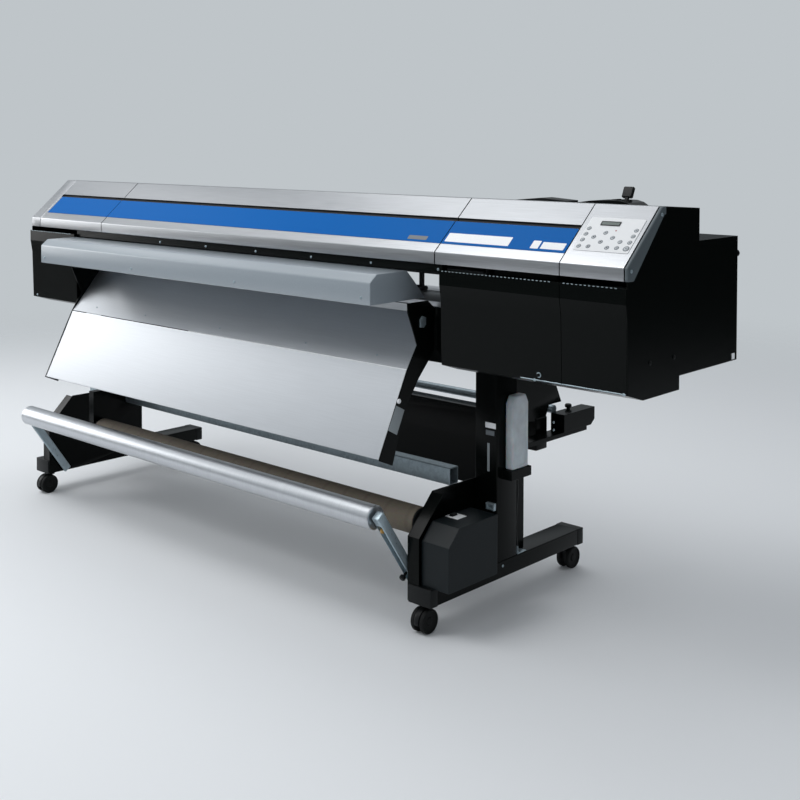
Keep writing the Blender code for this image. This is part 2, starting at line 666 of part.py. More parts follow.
def make_caster(side, end, x, axis_depth, trail):
    """A twin-wheel caster; the swivel carries the fork, the fork the wheels."""
    name = f"{side}_{end}"
    swivel = pivot(f"caster_swivel_{name}", x, axis_depth, FOOT_BOTTOM)
    half = WHEEL_WIDTH / 2
    hub = 0.0095
    axle = 0.005
    fork = block(f"caster_fork_{name}", (-0.024, 0.024), (-0.024, 0.024), (-0.0035, -GAP),
                 "black_plastic", parent=swivel, edge=0.001)
    drop = WHEEL_RADIUS - FOOT_BOTTOM
    body = block(f"fork_body_{name}", (-hub + 0.0015, hub - 0.0015),
                 sorted((trail - (0.011 if trail > 0 else -0.011), -trail * 0.75)),
                 (drop - 0.010, -0.003), None, parent=swivel)
    bore = rod(f"fork_bore_{name}", (-0.02, 0.02), trail, drop, axle + 0.0008, None,
               parent=swivel, sides=12)
    cut(join(fork, body), bore)
    turned(f"caster_wheel_{name}",
           [(0.0, half), (WHEEL_RADIUS * 0.78, half), (WHEEL_RADIUS, half - 0.006),
            (WHEEL_RADIUS, hub + 0.003), (WHEEL_RADIUS - 0.003, hub), (axle, hub),
            (axle, -hub), (WHEEL_RADIUS - 0.003, -hub), (WHEEL_RADIUS, -hub - 0.003),
            (WHEEL_RADIUS, -half + 0.006), (WHEEL_RADIUS * 0.78, -half), (0.0, -half)],
           0.0, trail, drop, "rubber", parent=swivel, steps=18)


def make_legs():
    rear = FOOT_FRONT + FOOT_LENGTH
    for side, x, outward in STAND_SIDES:
        half = FOOT_WIDTH / 2
        foot = block(f"foot_{side}", (x - half, x + half), (FOOT_FRONT, rear),
                     (FOOT_BOTTOM, FOOT_TOP), "black_paint", edge=0.002)
        wall = LEG_WALL
        cut(foot, block(f"foot_hollow_{side}", (x - half + wall, x + half - wall),
                        (FOOT_FRONT - 0.01, rear + 0.01),
                        (FOOT_BOTTOM + wall, FOOT_TOP - wall), None))
        half = COLUMN_WIDTH / 2
        column = block(f"column_{side}", (x - half, x + half),
                       (COLUMN_FRONT, COLUMN_FRONT + COLUMN_DEPTH),
                       (FOOT_TOP + GAP, UNDERSIDE - GAP), "black_paint", edge=0.002)
        cut(column, block(f"column_hollow_{side}", (x - half + wall, x + half - wall),
                          (COLUMN_FRONT + wall, COLUMN_FRONT + COLUMN_DEPTH - wall),
                          (FOOT_TOP - 0.01, UNDERSIDE + 0.01), None))
        if outward > 0:
            low = x + half - 0.001
            join(column, block("bottle_shelf", (low, x + half + BOTTLE_THICK + 0.006),
                               (0.252, 0.352), (0.391, BOTTLE_OUTLINE[0][1] - GAP), None))
        make_caster(side, "front", x, FOOT_FRONT + CASTER_INSET, -CASTER_TRAIL)
        make_caster(side, "rear", x, rear - CASTER_INSET, CASTER_TRAIL)


def make_bottle():
    low = LEG_RIGHT + COLUMN_WIDTH / 2 + 0.002
    prism("waste_bottle", BOTTLE_OUTLINE, (low, low + BOTTLE_THICK), "milky_plastic", edge=0.003)


def make_roll_rack():
    for side, x, outward in STAND_SIDES:
        outer = x + outward * FOOT_WIDTH / 2
        wide = sorted((outer, outer - outward * ROLL_ARM_WIDTH))
        arm = prism(f"roll_arm_{side}",
                    [(0.580, ARM_BOTTOM), (0.580, ARM_TOP), (ROLL_ARM_REAR, ARM_TOP),
                     (ROLL_ARM_REAR, 0.492), (0.735, ARM_BOTTOM)], wide, "black_paint")
        rail = block(f"arm_rail_{side}", (wide[0] + 0.001, wide[1] - 0.001),
                     (COLUMN_FRONT + COLUMN_DEPTH + GAP, 0.712), (RAIL_BOTTOM, RAIL_TOP), None)
        join(arm, rail)
        if outward > 0:
            inner = outer - 0.038
            strut = block("arm_strut", (inner - STRUT_WIDTH, inner), STRUT_DEPTH,
                          (FOOT_TOP + GAP, RAIL_TOP - 0.004), None)
            cut(strut, block("arm_strut_hollow",
                             (inner - STRUT_WIDTH + LEG_WALL, inner - LEG_WALL),
                             (STRUT_DEPTH[0] + LEG_WALL, STRUT_DEPTH[1] - LEG_WALL),
                             (FOOT_TOP - 0.01, RAIL_BOTTOM - 0.01), None))
            join(arm, strut)
    reach = LEG_SPAN / 2 + FOOT_WIDTH / 2 - ROLL_ARM_WIDTH - GAP
    stay = block("rear_stay", (STAND_MIDDLE - reach, STAND_MIDDLE + reach), STAY_DEPTH,
                 STAY_HEIGHT, "black_paint", edge=0.002)
    cut(stay, block("stay_hollow",
                    (STAND_MIDDLE - reach + STAY_SHEET, STAND_MIDDLE + reach - STAY_SHEET),
                    (STAY_DEPTH[0] + STAY_SHEET, STAY_DEPTH[1] + 0.01),
                    (STAY_HEIGHT[0] + STAY_SHEET, STAY_HEIGHT[1] - STAY_SHEET), None))
    join(stay, block("stay_skirt",
                     (STAND_MIDDLE - reach + SKIRT_INSET, STAND_MIDDLE + reach - SKIRT_INSET),
                     (STAY_DEPTH[0] + 0.0004, STAY_DEPTH[0] + STAY_SHEET - 0.0004),
                     (SKIRT_BOTTOM, STAY_HEIGHT[0] + 0.004), None))
    for outward in (-1, 1):
        x = sorted((STAND_MIDDLE + outward * (reach - 0.0035),
                    STAND_MIDDLE + outward * (reach - 0.0065)))
        join(stay, prism(f"stay_wing_{x[0]:.1f}", WING_OUTLINE, x, None))
    rod("media_bar", (STAND_MIDDLE - reach, STAND_MIDDLE + reach), BAR_DEPTH, BAR_HEIGHT,
        BAR_RADIUS, "grey_paint", sides=20)


# ---- take-up unit -----------------------------------------------------------------------
PLATE_TOP = 0.3825
PLATE_REAR = 0.366
PLATE_KNEE = 0.276
PLATE_FOOT = 0.087
PLATE_SHOULDER = 0.030
WEB = 0.0027
MOTOR_BOX = (0.1045, 0.230)   # width and depth
SWITCH_DEPTH = 0.0575
SWITCH_INSET = 0.0158         # from the box's inner face to the middle of the switch


def web_face(x, outward):
    """X of a take-up plate's inner face."""
    return x - outward * (FOOT_WIDTH / 2 + WEB_INSET)


def make_takeup_plates():
    front = FOOT_FRONT + 0.002
    web = [(front, PLATE_FOOT), (front, PLATE_KNEE), (PLATE_SHOULDER, PLATE_TOP + 0.003),
           (PLATE_REAR, PLATE_TOP), (PLATE_REAR, FOOT_TOP), (0.060, PLATE_FOOT)]
    folds = [(front + 0.0002, FOOT_TOP + GAP), (front + 0.0002, PLATE_KNEE),
             (PLATE_SHOULDER - 0.002, PLATE_TOP)]
    for side, x, outward in STAND_SIDES:
        face = web_face(x, outward)
        plate = prism(f"takeup_plate_{side}", web, sorted((face, face + outward * WEB)),
                      "black_paint")
        flange = folded_sheet(f"plate_flange_{side}", folds, sorted(
            (face + outward * WEB / 2, face + outward * (WEB + FLANGE_WIDTH))), None,
            thickness=0.0025)
        join(plate, flange)


def make_motor_box():
    start = web_face(LEG_RIGHT, 1) + WEB + FLANGE_WIDTH + GAP
    span = (start, start + MOTOR_BOX[0])
    front = FOOT_FRONT + 0.013
    rear = front + MOTOR_BOX[1] - 0.006
    top = 0.3165
    outline = [(front, FOOT_TOP + GAP), (front, 0.268), (front + 0.047, top), (rear, top),
               (rear, FOOT_TOP + GAP)]
    box = prism("motor_box", outline, span, "black_paint")
    cut(box, prism("motor_box_hollow", inset(outline, 0.0025),
                   (span[0] - 0.01, span[1] - 0.0025), None))
    rocker = pivot("motor_switch_pivot", span[0] + SWITCH_INSET, SWITCH_DEPTH, top + GAP + 0.005)
    prism("motor_switch", [(-0.012, -0.0035), (-0.010, 0.004), (0.0, 0.0018), (0.010, 0.004),
                           (0.012, -0.0035), (0.0, -0.005)], (-0.006, 0.006), "black_plastic",
          parent=rocker)


def make_takeup_roll():
    to_web = 0.010
    right = web_face(LEG_RIGHT, 1) - to_web
    left = right - CORE_LENGTH
    middle = (left + right) / 2
    half = CORE_LENGTH / 2
    turned("core_tube", [(CORE_BORE, half), (CORE_RADIUS, half), (CORE_RADIUS, -half),
                         (CORE_BORE, -half)],
           middle, CORE_DEPTH, CORE_HEIGHT, "cardboard", steps=28, closed=True)
    fit = 0.0005
    spigot = CORE_BORE - fit
    collar = 0.0405
    turned("core_chuck_right",
           [(0.0, to_web - GAP), (0.022, to_web - GAP), (0.022, 0.006), (0.034, 0.005),
            (collar, 0.004), (collar, GAP), (spigot, GAP),
            (spigot - 0.004, -0.045), (0.0, -0.045)],
           right, CORE_DEPTH, CORE_HEIGHT, "black_plastic", steps=20)
    turned("core_chuck_left",
           [(0.0, 0.045), (spigot - 0.004, 0.045), (spigot, -GAP), (collar, -GAP),
            (collar, -0.008), (0.028, -0.010), (0.028, -0.018), (0.008, -0.020),
            (0.008, -0.030), (0.0, -0.030)],
           left, CORE_DEPTH, CORE_HEIGHT, "black_plastic", steps=20)
    beam_front = 0.110
    bracket = prism("core_bracket_left",
                    [(CORE_DEPTH - 0.030, CORE_HEIGHT - 0.030),
                     (CORE_DEPTH - 0.030, BEAM_BOTTOM + BEAM_HEIGHT + 0.012),
                     (beam_front + BEAM_DEPTH + 0.012, BEAM_BOTTOM + BEAM_HEIGHT + 0.012),
                     (beam_front + BEAM_DEPTH + 0.012, BEAM_BOTTOM - 0.012),
                     (CORE_DEPTH + 0.032, CORE_HEIGHT - 0.030)],
                    (left - 0.052, left - 0.0215), "black_paint")
    clear = 0.0006
    window = block("bracket_window", (left - 0.07, left), (beam_front - clear,
                                                           beam_front + BEAM_DEPTH + clear),
                   (BEAM_BOTTOM - clear, BEAM_BOTTOM + BEAM_HEIGHT + clear), None)
    bore = rod("bracket_bore", (left - 0.035, left), CORE_DEPTH, CORE_HEIGHT, 0.010, None,
               sides=16)
    cut(bracket, window, bore)
    reach = LEG_SPAN / 2 - FOOT_WIDTH / 2 - WEB_INSET - GAP
    span = (STAND_MIDDLE - reach, STAND_MIDDLE + reach)
    beam = block("cross_beam", span, (beam_front, beam_front + BEAM_DEPTH),
                 (BEAM_BOTTOM, BEAM_BOTTOM + BEAM_HEIGHT), "galvanised", edge=0.002)
    cut(beam, block("beam_hollow", (span[0] - 0.01, span[1] + 0.01),
                    (beam_front + BEAM_WALL, beam_front + BEAM_DEPTH - BEAM_WALL),
                    (BEAM_BOTTOM + BEAM_WALL, BEAM_BOTTOM + BEAM_HEIGHT - BEAM_WALL), None))


def make_dancer():
    """A roller between two arms; the arms and the roller's axle are one welded frame."""
    swing = pivot("dancer_pivot", STAND_MIDDLE, *DANCER_PIVOT, tilt=DANCER_TILT)
    face = LEG_SPAN / 2 - FOOT_WIDTH / 2 - WEB_INSET
    frame = rod("dancer_frame", (-face + 0.008, face - 0.012), 0.0, DANCER_ARM, DANCER_AXLE,
                "aluminium", parent=swing, sides=16)
    low = -0.016
    high = DANCER_ARM + 0.016
    for side, outward, (clear, width) in (("left", -1, LEFT_DANCER_ARM),
                                          ("right", 1, RIGHT_DANCER_ARM)):
        x = sorted((outward * (face - clear), outward * (face - clear - width)))
        arm = block(f"dancer_arm_{side}", x, (-0.015, 0.015), (low, high), None, parent=swing,
                    edge=0.002)
        cut(arm, block(f"dancer_channel_{side}", (x[0] + 0.003, x[1] - 0.003),
                       (-0.03, 0.012), (low + 0.03, high - 0.03), None, parent=swing))
        pin = rod(f"dancer_pin_{side}", sorted((outward * (face - clear - 0.002),
                                                outward * (face - GAP))), 0.0, 0.0, 0.007,
                  None, parent=swing, sides=16)
        join(frame, arm, pin)
    left = -face + sum(LEFT_DANCER_ARM) + 0.002
    right = face - sum(RIGHT_DANCER_ARM) - 0.002
    half = (right - left) / 2
    wall = DANCER_WALL
    bore = DANCER_AXLE + 0.0008
    turned("dancer_roller",
           [(bore, half), (DANCER_RADIUS, half), (DANCER_RADIUS, -half), (bore, -half),
            (bore, -half + 0.008), (DANCER_RADIUS - wall, -half + 0.008),
            (DANCER_RADIUS - wall, half - 0.008), (bore, half - 0.008)],
           (left + right) / 2, 0.0, DANCER_ARM, "aluminium", parent=swing, steps=32,
           closed=True)


def build():
    make_chassis()
    make_lower_covers()
    make_top_covers()
    make_controls()
    make_rear_cover()
    make_lever()
    make_feed()
    make_carriage()
    make_hood()
    make_apron()
    make_legs()
    make_bottle()
    make_roll_rack()
    make_takeup_plates()
    make_motor_box()
    make_takeup_roll()
    make_dancer()


clear_scene()
parts = new_collection("printer_cutter")
cutters = new_collection("cutters")
build()
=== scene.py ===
"""Finishes and detailed pieces for a wide-format printer cutter on its stand.

Run as a script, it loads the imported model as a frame, models the detailed pieces round
it and sets up a plain studio.  Metres; X along the machine, Y rearwards, Z up.
"""
import json
from math import atan2, cos, pi, radians, sin

import bmesh
import bpy
from bpy.props import FloatProperty, FloatVectorProperty, PointerProperty
from mathutils import Matrix, Vector

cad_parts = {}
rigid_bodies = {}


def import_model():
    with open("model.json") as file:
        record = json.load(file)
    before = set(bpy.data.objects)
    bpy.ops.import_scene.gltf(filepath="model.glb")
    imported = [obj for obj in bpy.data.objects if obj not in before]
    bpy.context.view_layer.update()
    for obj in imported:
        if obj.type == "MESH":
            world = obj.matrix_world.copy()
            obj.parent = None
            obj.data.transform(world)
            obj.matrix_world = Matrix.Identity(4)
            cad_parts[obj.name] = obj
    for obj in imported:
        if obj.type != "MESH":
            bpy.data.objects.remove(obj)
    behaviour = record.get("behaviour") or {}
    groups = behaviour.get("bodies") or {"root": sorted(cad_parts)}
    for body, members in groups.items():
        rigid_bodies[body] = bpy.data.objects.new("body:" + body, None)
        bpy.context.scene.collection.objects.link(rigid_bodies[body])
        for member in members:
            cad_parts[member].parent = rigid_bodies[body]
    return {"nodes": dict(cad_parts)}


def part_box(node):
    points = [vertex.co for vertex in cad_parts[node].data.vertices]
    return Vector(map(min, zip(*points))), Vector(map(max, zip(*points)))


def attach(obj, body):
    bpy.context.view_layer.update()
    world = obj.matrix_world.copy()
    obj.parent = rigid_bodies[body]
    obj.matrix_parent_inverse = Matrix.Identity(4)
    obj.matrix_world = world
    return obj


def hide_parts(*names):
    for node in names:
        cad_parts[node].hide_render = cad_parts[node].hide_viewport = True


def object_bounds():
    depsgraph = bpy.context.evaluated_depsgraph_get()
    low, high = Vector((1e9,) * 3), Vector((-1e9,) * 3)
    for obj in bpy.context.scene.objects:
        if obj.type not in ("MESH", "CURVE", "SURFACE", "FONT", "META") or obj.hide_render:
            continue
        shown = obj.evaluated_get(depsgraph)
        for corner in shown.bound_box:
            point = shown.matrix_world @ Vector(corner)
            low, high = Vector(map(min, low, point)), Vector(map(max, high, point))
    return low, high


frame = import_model()
CAD_BOX = [list(corner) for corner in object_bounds()]

bl_info = {
    "name": "Printer Cutter",
    "version": (1, 0, 0),
    "blender": (4, 5, 0),
    "location": "View3D > Sidebar > Printer Cutter",
    "description": "Models and finishes a wide-format printer cutter",
    "category": "Add Mesh",
}

# ---- places taken from the frame ----------------------------------------------------------
COVER_LOW, COVER_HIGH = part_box("front_cover")
FRONT = COVER_LOW.y
RIGHT = CAD_BOX[1][0]

LIP = 0.0365                  # height of the covers' front lip
LAND = 0.019                  # depth of the flat land above the slope
SLOPE_RUN = COVER_HIGH.y - COVER_LOW.y - LAND
SLOPE_RISE = COVER_HIGH.z - COVER_LOW.z - LIP
SLOPE = atan2(SLOPE_RISE, SLOPE_RUN)
GROOVE = (0.128, 0.143)       # up the slope
SHEET = 0.002                 # thickness of the folded covers
SEAM = 0.0016                 # gap between two covers


def hex_colour(text):
    """An sRGB hex value as linear red, green, blue and alpha."""
    parts = [int(text[index:index + 2], 16) / 255 for index in (1, 3, 5)]
    linear = [part / 12.92 if part <= 0.04045 else ((part + 0.055) / 1.055) ** 2.4
              for part in parts]
    return (*linear, 1.0)


# ---- settings -----------------------------------------------------------------------------
def colour_setting(name, description, text):
    return FloatVectorProperty(name=name, description=description, subtype="COLOR", size=4,
                               min=0.0, max=1.0, default=hex_colour(text))


class CutterFinishes(bpy.types.PropertyGroup):
    steel: colour_setting("Stainless steel", "Brushed stainless covers", "#aeb0b3")
    paint: colour_setting("Black paint", "Textured black powder coat", "#060908")
    enamel: colour_setting("Hood enamel", "Grey baked enamel of the dryer hood", "#8d979f")
    film: colour_setting("Blue film", "Printed film on the covers", "#055eaa")
    alloy: colour_setting("Anodised aluminium", "Apron, platens and rollers", "#c3c6ca")
    keypad: colour_setting("Keypad", "Printed polyester of the control panel", "#e6e8ea")


class CutterSizes(bpy.types.PropertyGroup):
    bend: FloatProperty(name="Bend radius", description="Outside radius of the folded covers",
                        default=0.003, min=0.0005, max=0.01, unit="LENGTH")
    screw: FloatProperty(name="Screw head", description="Radius of the cover screws' heads",
                         default=0.0042, min=0.002, max=0.008, unit="LENGTH")
    key: FloatProperty(name="Key", description="Radius of a membrane key",
                       default=0.0062, min=0.004, max=0.010, unit="LENGTH")


def finishes():
    return bpy.context.scene.cutter_finishes


def sizes():
    return bpy.context.scene.cutter_sizes


# ---- material helpers ---------------------------------------------------------------------
MM = 0.001


def add_node(tree, kind, place, settings=None, links=None):
    """Adds one node: settings name its inputs or its properties, links name a source
    node and that node's output for each input."""
    made = tree.nodes.new(kind)
    made.location = place
    for key, value in (settings or {}).items():
        if isinstance(key, int) or key in made.inputs:
            made.inputs[key].default_value = value
        else:
            setattr(made, key, value)
    for key, (source, output) in (links or {}).items():
        tree.links.new(source.outputs[output], made.inputs[key])
    return made


def new_material(name, colour, roughness, metallic=0.0, **sockets):
    """A Principled material, its tree, its shader and its Object coordinates."""
    material = bpy.data.materials.new(name)
    material.use_nodes = True
    tree = material.node_tree
    shader = tree.nodes["Principled BSDF"]
    values = {"Base Color": colour, "Roughness": roughness, "Metallic": metallic, **sockets}
    for key, value in values.items():
        shader.inputs[key].default_value = value
    where = add_node(tree, "ShaderNodeTexCoord", (-1300, 0))
    return material, tree, shader, where


def grain(tree, where, scale, place, detail=3.0, stretch=(1.0, 1.0, 1.0)):
    """Noise with features of one size in metres, drawn out along the stretched axes."""
    spread = tuple(1.0 / (scale * factor) for factor in stretch)
    mapping = add_node(tree, "ShaderNodeMapping", (place[0] - 200, place[1]),
                       {"Scale": spread}, {"Vector": (where, "Object")})
    return add_node(tree, "ShaderNodeTexNoise", place, {"Scale": 1.0, "Detail": detail},
                    {"Vector": (mapping, "Vector")})


def set_stops(ramp, *stops):
    """Gives a colour ramp's own two stops their places and colours."""
    for stop, (place, colour) in zip(ramp.color_ramp.elements, stops):
        stop.position, stop.color = place, colour


def vary(tree, shader, noise, colours, roughness, bump, distance):
    """Drives the colour between two tones, the roughness between two values, and a bump."""
    if colours:
        ramp = add_node(tree, "ShaderNodeValToRGB", (-500, 300), None, {"Fac": (noise, "Fac")})
        set_stops(ramp, (0.3, colours[0]), (0.7, colours[1]))
        tree.links.new(ramp.outputs["Color"], shader.inputs["Base Color"])
    spread = add_node(tree, "ShaderNodeMapRange", (-500, 0),
                      {"From Min": 0.3, "From Max": 0.7, "To Min": roughness[0],
                       "To Max": roughness[1]}, {"Value": (noise, "Fac")})
    tree.links.new(spread.outputs["Result"], shader.inputs["Roughness"])
    if bump:
        relief = add_node(tree, "ShaderNodeBump", (-250, -300),
                          {"Strength": bump, "Distance": distance}, {"Height": (noise, "Fac")})
        tree.links.new(relief.outputs["Normal"], shader.inputs["Normal"])


def shade(colour, factor):
    return (*(min(1.0, channel * factor) for channel in colour[:3]), 1.0)


def grained(name, base, roughness, metallic=0.0, *, size, tones, spread, bump, depth,
            detail=2.0, stretch=(1.0, 1.0, 1.0), sockets=None):
    """A finish whose one grain drives its tone, its roughness and its relief; the grain's
    size and the relief's depth are in millimetres."""
    material, tree, shader, where = new_material(name, base, roughness, metallic,
                                                 **(sockets or {}))
    noise = grain(tree, where, size * MM, (-800, 200), detail, stretch)
    vary(tree, shader, noise, [shade(base, tone) for tone in tones], spread, bump,
         depth * MM)
    return material


# ---- materials ----------------------------------------------------------------------------
def brushed_stainless():
    """Stainless sheet brushed along the machine: long soft streaks, silky highlights."""
    # real scratches are 0.2 mm wide; drawn as 1.6 mm bands so that they show
    return grained("brushed_stainless", tuple(finishes().steel), 0.36, 1.0, size=1.6,
                   detail=4.0, stretch=(60.0, 1.0, 1.0), tones=(0.90, 1.06),
                   spread=(0.33, 0.41), bump=0.05, depth=0.1)


def black_powder_coat():
    """Polyester powder coat, fine orange peel: near black with a soft broken sheen."""
    return grained("black_powder_coat", tuple(finishes().paint), 0.25, size=1.2,
                   tones=(0.9, 1.12), spread=(0.19, 0.27), bump=0.04, depth=0.05,
                   sockets={"Specular IOR Level": 0.10})


def grey_enamel():
    """Baked enamel over folded steel: even grey with a slight orange peel."""
    return grained("grey_enamel", tuple(finishes().enamel), 0.36, size=3.0,
                   tones=(0.97, 1.03), spread=(0.32, 0.40), bump=0.04, depth=0.06,
                   sockets={"Coat Weight": 1.0, "Coat Roughness": 0.26})


def anodised_aluminium():
    """Satin anodised sheet and extrusion: rolled along the machine, faint long grain."""
    return grained("anodised_aluminium", tuple(finishes().alloy), 0.42, 1.0, size=2.5,
                   detail=3.0, stretch=(50.0, 1.0, 1.0), tones=(0.96, 1.03),
                   spread=(0.40, 0.46), bump=0.03, depth=0.05)


def turned_aluminium():
    """Lathe-turned and anodised tube: fine rings round the axis, a bright soft stripe."""
    return grained("turned_aluminium", tuple(finishes().alloy), 0.34, 1.0, size=1.5,
                   detail=3.0, stretch=(1.0, 60.0, 60.0), tones=(0.93, 1.04),
                   spread=(0.30, 0.38), bump=0.04, depth=0.05)


def galvanised_steel():
    """Hot-dipped zinc: cool grey spangle with patches a few millimetres across."""
    base = hex_colour("#9ca9b0")
    material, tree, shader, where = new_material("galvanised_steel", base, 0.45, 0.85)
    cells = add_node(tree, "ShaderNodeTexVoronoi", (-800, 200),
                     {"Scale": 1.0 / (9 * MM), "Randomness": 1.0},
                     {"Vector": (where, "Object")})
    ramp = add_node(tree, "ShaderNodeValToRGB", (-500, 300), None, {"Fac": (cells, "Color")})
    set_stops(ramp, (0.0, shade(base, 0.85)), (1.0, shade(base, 1.12)))
    tree.links.new(ramp.outputs["Color"], shader.inputs["Base Color"])
    noise = grain(tree, where, 4.0 * MM, (-800, -200), 3.0)
    vary(tree, shader, noise, None, (0.38, 0.52), 0.05, 0.05 * MM)
    return material


def zinc_plate():
    """Bright zinc on pressed steel: pale with a blue cast and rolling marks."""
    return grained("zinc_plate", hex_colour("#a9b9c1"), 0.34, 0.6, size=3.0, detail=4.0,
                   stretch=(1.0, 1.0, 6.0), tones=(0.92, 1.05), spread=(0.26, 0.40),
                   bump=0.04, depth=0.05)


def blue_film():
    """Screen-printed polyester film: even blue under a satin clear face."""
    return grained("blue_film", tuple(finishes().film), 0.34, size=2.0,
                   tones=(0.97, 1.03), spread=(0.34, 0.42), bump=0.02, depth=0.03,
                   sockets={"Specular IOR Level": 0.05})


def keypad_film():
    """Matt-grained polyester keypad face: pale silver with a fine texture."""
    return grained("keypad_film", tuple(finishes().keypad), 0.48, size=0.8,
                   tones=(0.97, 1.02), spread=(0.44, 0.54), bump=0.06, depth=0.03)


def moulded(name, text, roughness, size=0.9, depth=0.06, sheen=0.5):
    """Moulded plastic with a spark-eroded skin: two close tones and a fine grain."""
    return grained(name, hex_colour(text), roughness, size=size, tones=(0.93, 1.07),
                   spread=(roughness - 0.05, roughness + 0.06), bump=0.10, depth=depth,
                   sockets={"Specular IOR Level": sheen})


def wound_board():
    """Spiral-wound core board: brown kraft with a helical ply seam every 90 mm."""
    base = hex_colour("#766d60")
    material, tree, shader, where = new_material("wound_board", base, 0.85)
    noise = grain(tree, where, 5.0 * MM, (-900, 300), 4.0, (3.0, 1.0, 1.0))
    seam = add_node(tree, "ShaderNodeTexWave", (-900, -100),
                    {"Scale": 1.0 / (90 * MM * 20 / (2 * pi)), "Distortion": 0.6,
                     "Detail": 1.0}, {"Vector": (where, "Object")})
    ramp = add_node(tree, "ShaderNodeValToRGB", (-600, -100), None, {"Fac": (seam, "Fac")})
    set_stops(ramp, (0.0, shade(base, 0.86)), (0.10, base))
    fibres = add_node(tree, "ShaderNodeMix", (-300, 200),
                      {"data_type": "RGBA", "blend_type": "MULTIPLY", "Factor": 0.35},
                      {6: (ramp, "Color"), 7: (noise, "Color")})
    tree.links.new(fibres.outputs[2], shader.inputs["Base Color"])
    relief = add_node(tree, "ShaderNodeBump", (-300, -300),
                      {"Strength": 0.2, "Distance": 0.2 * MM}, {"Height": (noise, "Fac")})
    tree.links.new(relief.outputs["Normal"], shader.inputs["Normal"])
    return material


def milky_polyethylene():
    """Blow-moulded polyethylene: cloudy grey-white, light glows a little way in."""
    return grained("milky_polyethylene", hex_colour("#c4ccd1"), 0.42, size=30.0,
                   detail=3.0, tones=(0.88, 1.08), spread=(0.36, 0.46), bump=0.05,
                   depth=0.4, sockets={"Subsurface Weight": 0.35, "Subsurface Scale": 0.01})


def display_glass():
    """Reflective liquid crystal behind an acrylic window: grey-green, glossy."""
    base = hex_colour("#6d7672")
    material, tree, shader, where = new_material("display_glass", base, 0.12)
    cells = add_node(tree, "ShaderNodeTexBrick", (-800, 200),
                     {"Color1": base, "Color2": shade(base, 0.9), "Mortar": shade(base, 1.12),
                      "Scale": 1.0, "Mortar Size": 0.3 * MM, "Brick Width": 3.2 * MM,
                      "Row Height": 5.5 * MM, "offset": 0.0}, {"Vector": (where, "Object")})
    tree.links.new(cells.outputs["Color"], shader.inputs["Base Color"])
    return material


def rubber_tread():
    """Grey-black polyurethane tread: matt, scuffed along the rolling face."""
    return moulded("rubber_tread", "#0f1111", 0.62, 2.5, 0.10, sheen=0.2)


BUILDERS = {
    "steel": brushed_stainless,
    "paint": black_powder_coat,
    "enamel": grey_enamel,
    "alloy": anodised_aluminium,
    "turned": turned_aluminium,
    "galvanised": galvanised_steel,
    "zinc": zinc_plate,
    "film": blue_film,
    "keypad": keypad_film,
    "board": wound_board,
    "bottle": milky_polyethylene,
    "display": display_glass,
    "tread": rubber_tread,
    "black": lambda: moulded("black_abs", "#0d1011", 0.42, sheen=0.2),
    "casing": lambda: moulded("grained_black_abs", "#10171a", 0.40, sheen=0.2),
    "grey": lambda: moulded("grey_abs", "#4f595e", 0.46),
    # near-black matt channel behind the cover slots: painted shade for the inside of the
    # groove
    "dark": lambda: moulded("dark_groove_lining", "#0a0b0c", 0.7),
    "label": lambda: moulded("label_paper", "#f2f4f6", 0.55, 1.5, 0.03),
    "pale": lambda: moulded("grey_label", "#8f979b", 0.5, 1.5, 0.03),
    "key": lambda: moulded("key_print", "#666d72", 0.4, 1.0, 0.02),
    "dome": lambda: moulded("key_dome_print", "#aeb4b9", 0.4, 1.0, 0.02),
    "lamp": lambda: moulded("red_lens", "#a03a34", 0.2, 2.0, 0.01),
    "brass": lambda: moulded("brass_pin", "#b98f45", 0.35, 1.0, 0.02),
    "pinch": lambda: moulded("grey_rubber", "#4a4d4f", 0.75, 1.2, 0.05),
}


MADE = {}


def finish(name):
    """The named material, made the first time it is asked for."""
    if name not in MADE:
        MADE[name] = BUILDERS[name]()
    return MADE[name]


def paint_nodes(name, *nodes):
    for node in nodes:
        for slot in frame["nodes"][node].material_slots:
            slot.material = finish(name)


# ---- modelling helpers --------------------------------------------------------------------
def back(depth):
    """Y of a depth behind the covers' front plane."""
    return FRONT + depth


def on_slope(x, distance, lift=0.0):
    """A point on the sloped front, some way up it and lifted off its surface."""
    return Vector((x, FRONT + distance * cos(SLOPE) - lift * sin(SLOPE),
                   COVER_LOW.z + LIP + distance * sin(SLOPE) + lift * cos(SLOPE)))


def leave_edit():
    bpy.ops.object.mode_set(mode="OBJECT")


def clear_selection():
    active = bpy.context.view_layer.objects.active
    if active and active.mode != "OBJECT":
        leave_edit()
    bpy.ops.object.select_all(action="DESELECT")


def only(obj):
    clear_selection()
    obj.select_set(True)
    bpy.context.view_layer.objects.active = obj
    return obj


def named(name):
    obj = bpy.context.view_layer.objects.active
    obj.name = name
    obj.data.name = name
    return obj


def middle_of(item):
    points = [item.co] if isinstance(item, bmesh.types.BMVert) else [v.co for v in item.verts]
    return sum(points, Vector()) / len(points)


def pick(obj, kind, test):
    """In edit mode, selects the vertices, edges or faces that pass a test."""
    only(obj)
    bpy.ops.object.mode_set(mode="EDIT")
    bpy.ops.mesh.select_mode(type=kind)
    bpy.ops.mesh.select_all(action="DESELECT")
    mesh = bmesh.from_edit_mesh(obj.data)
    items = {"VERT": mesh.verts, "EDGE": mesh.edges, "FACE": mesh.faces}[kind]
    for item in items:
        if test(item):
            item.select_set(True)
    mesh.select_flush_mode()
    bmesh.update_edit_mesh(obj.data)


def apply_place(obj):
    only(obj)
    bpy.ops.object.transform_apply(location=True, rotation=True, scale=True)
    return obj


def work(obj, kind, **settings):
    """Adds a modifier with its settings and applies it."""
    only(obj)
    step = obj.modifiers.new(kind.lower(), kind)
    for key, value in settings.items():
        setattr(step, key, value)
    bpy.ops.object.modifier_apply(modifier=step.name)
    return obj


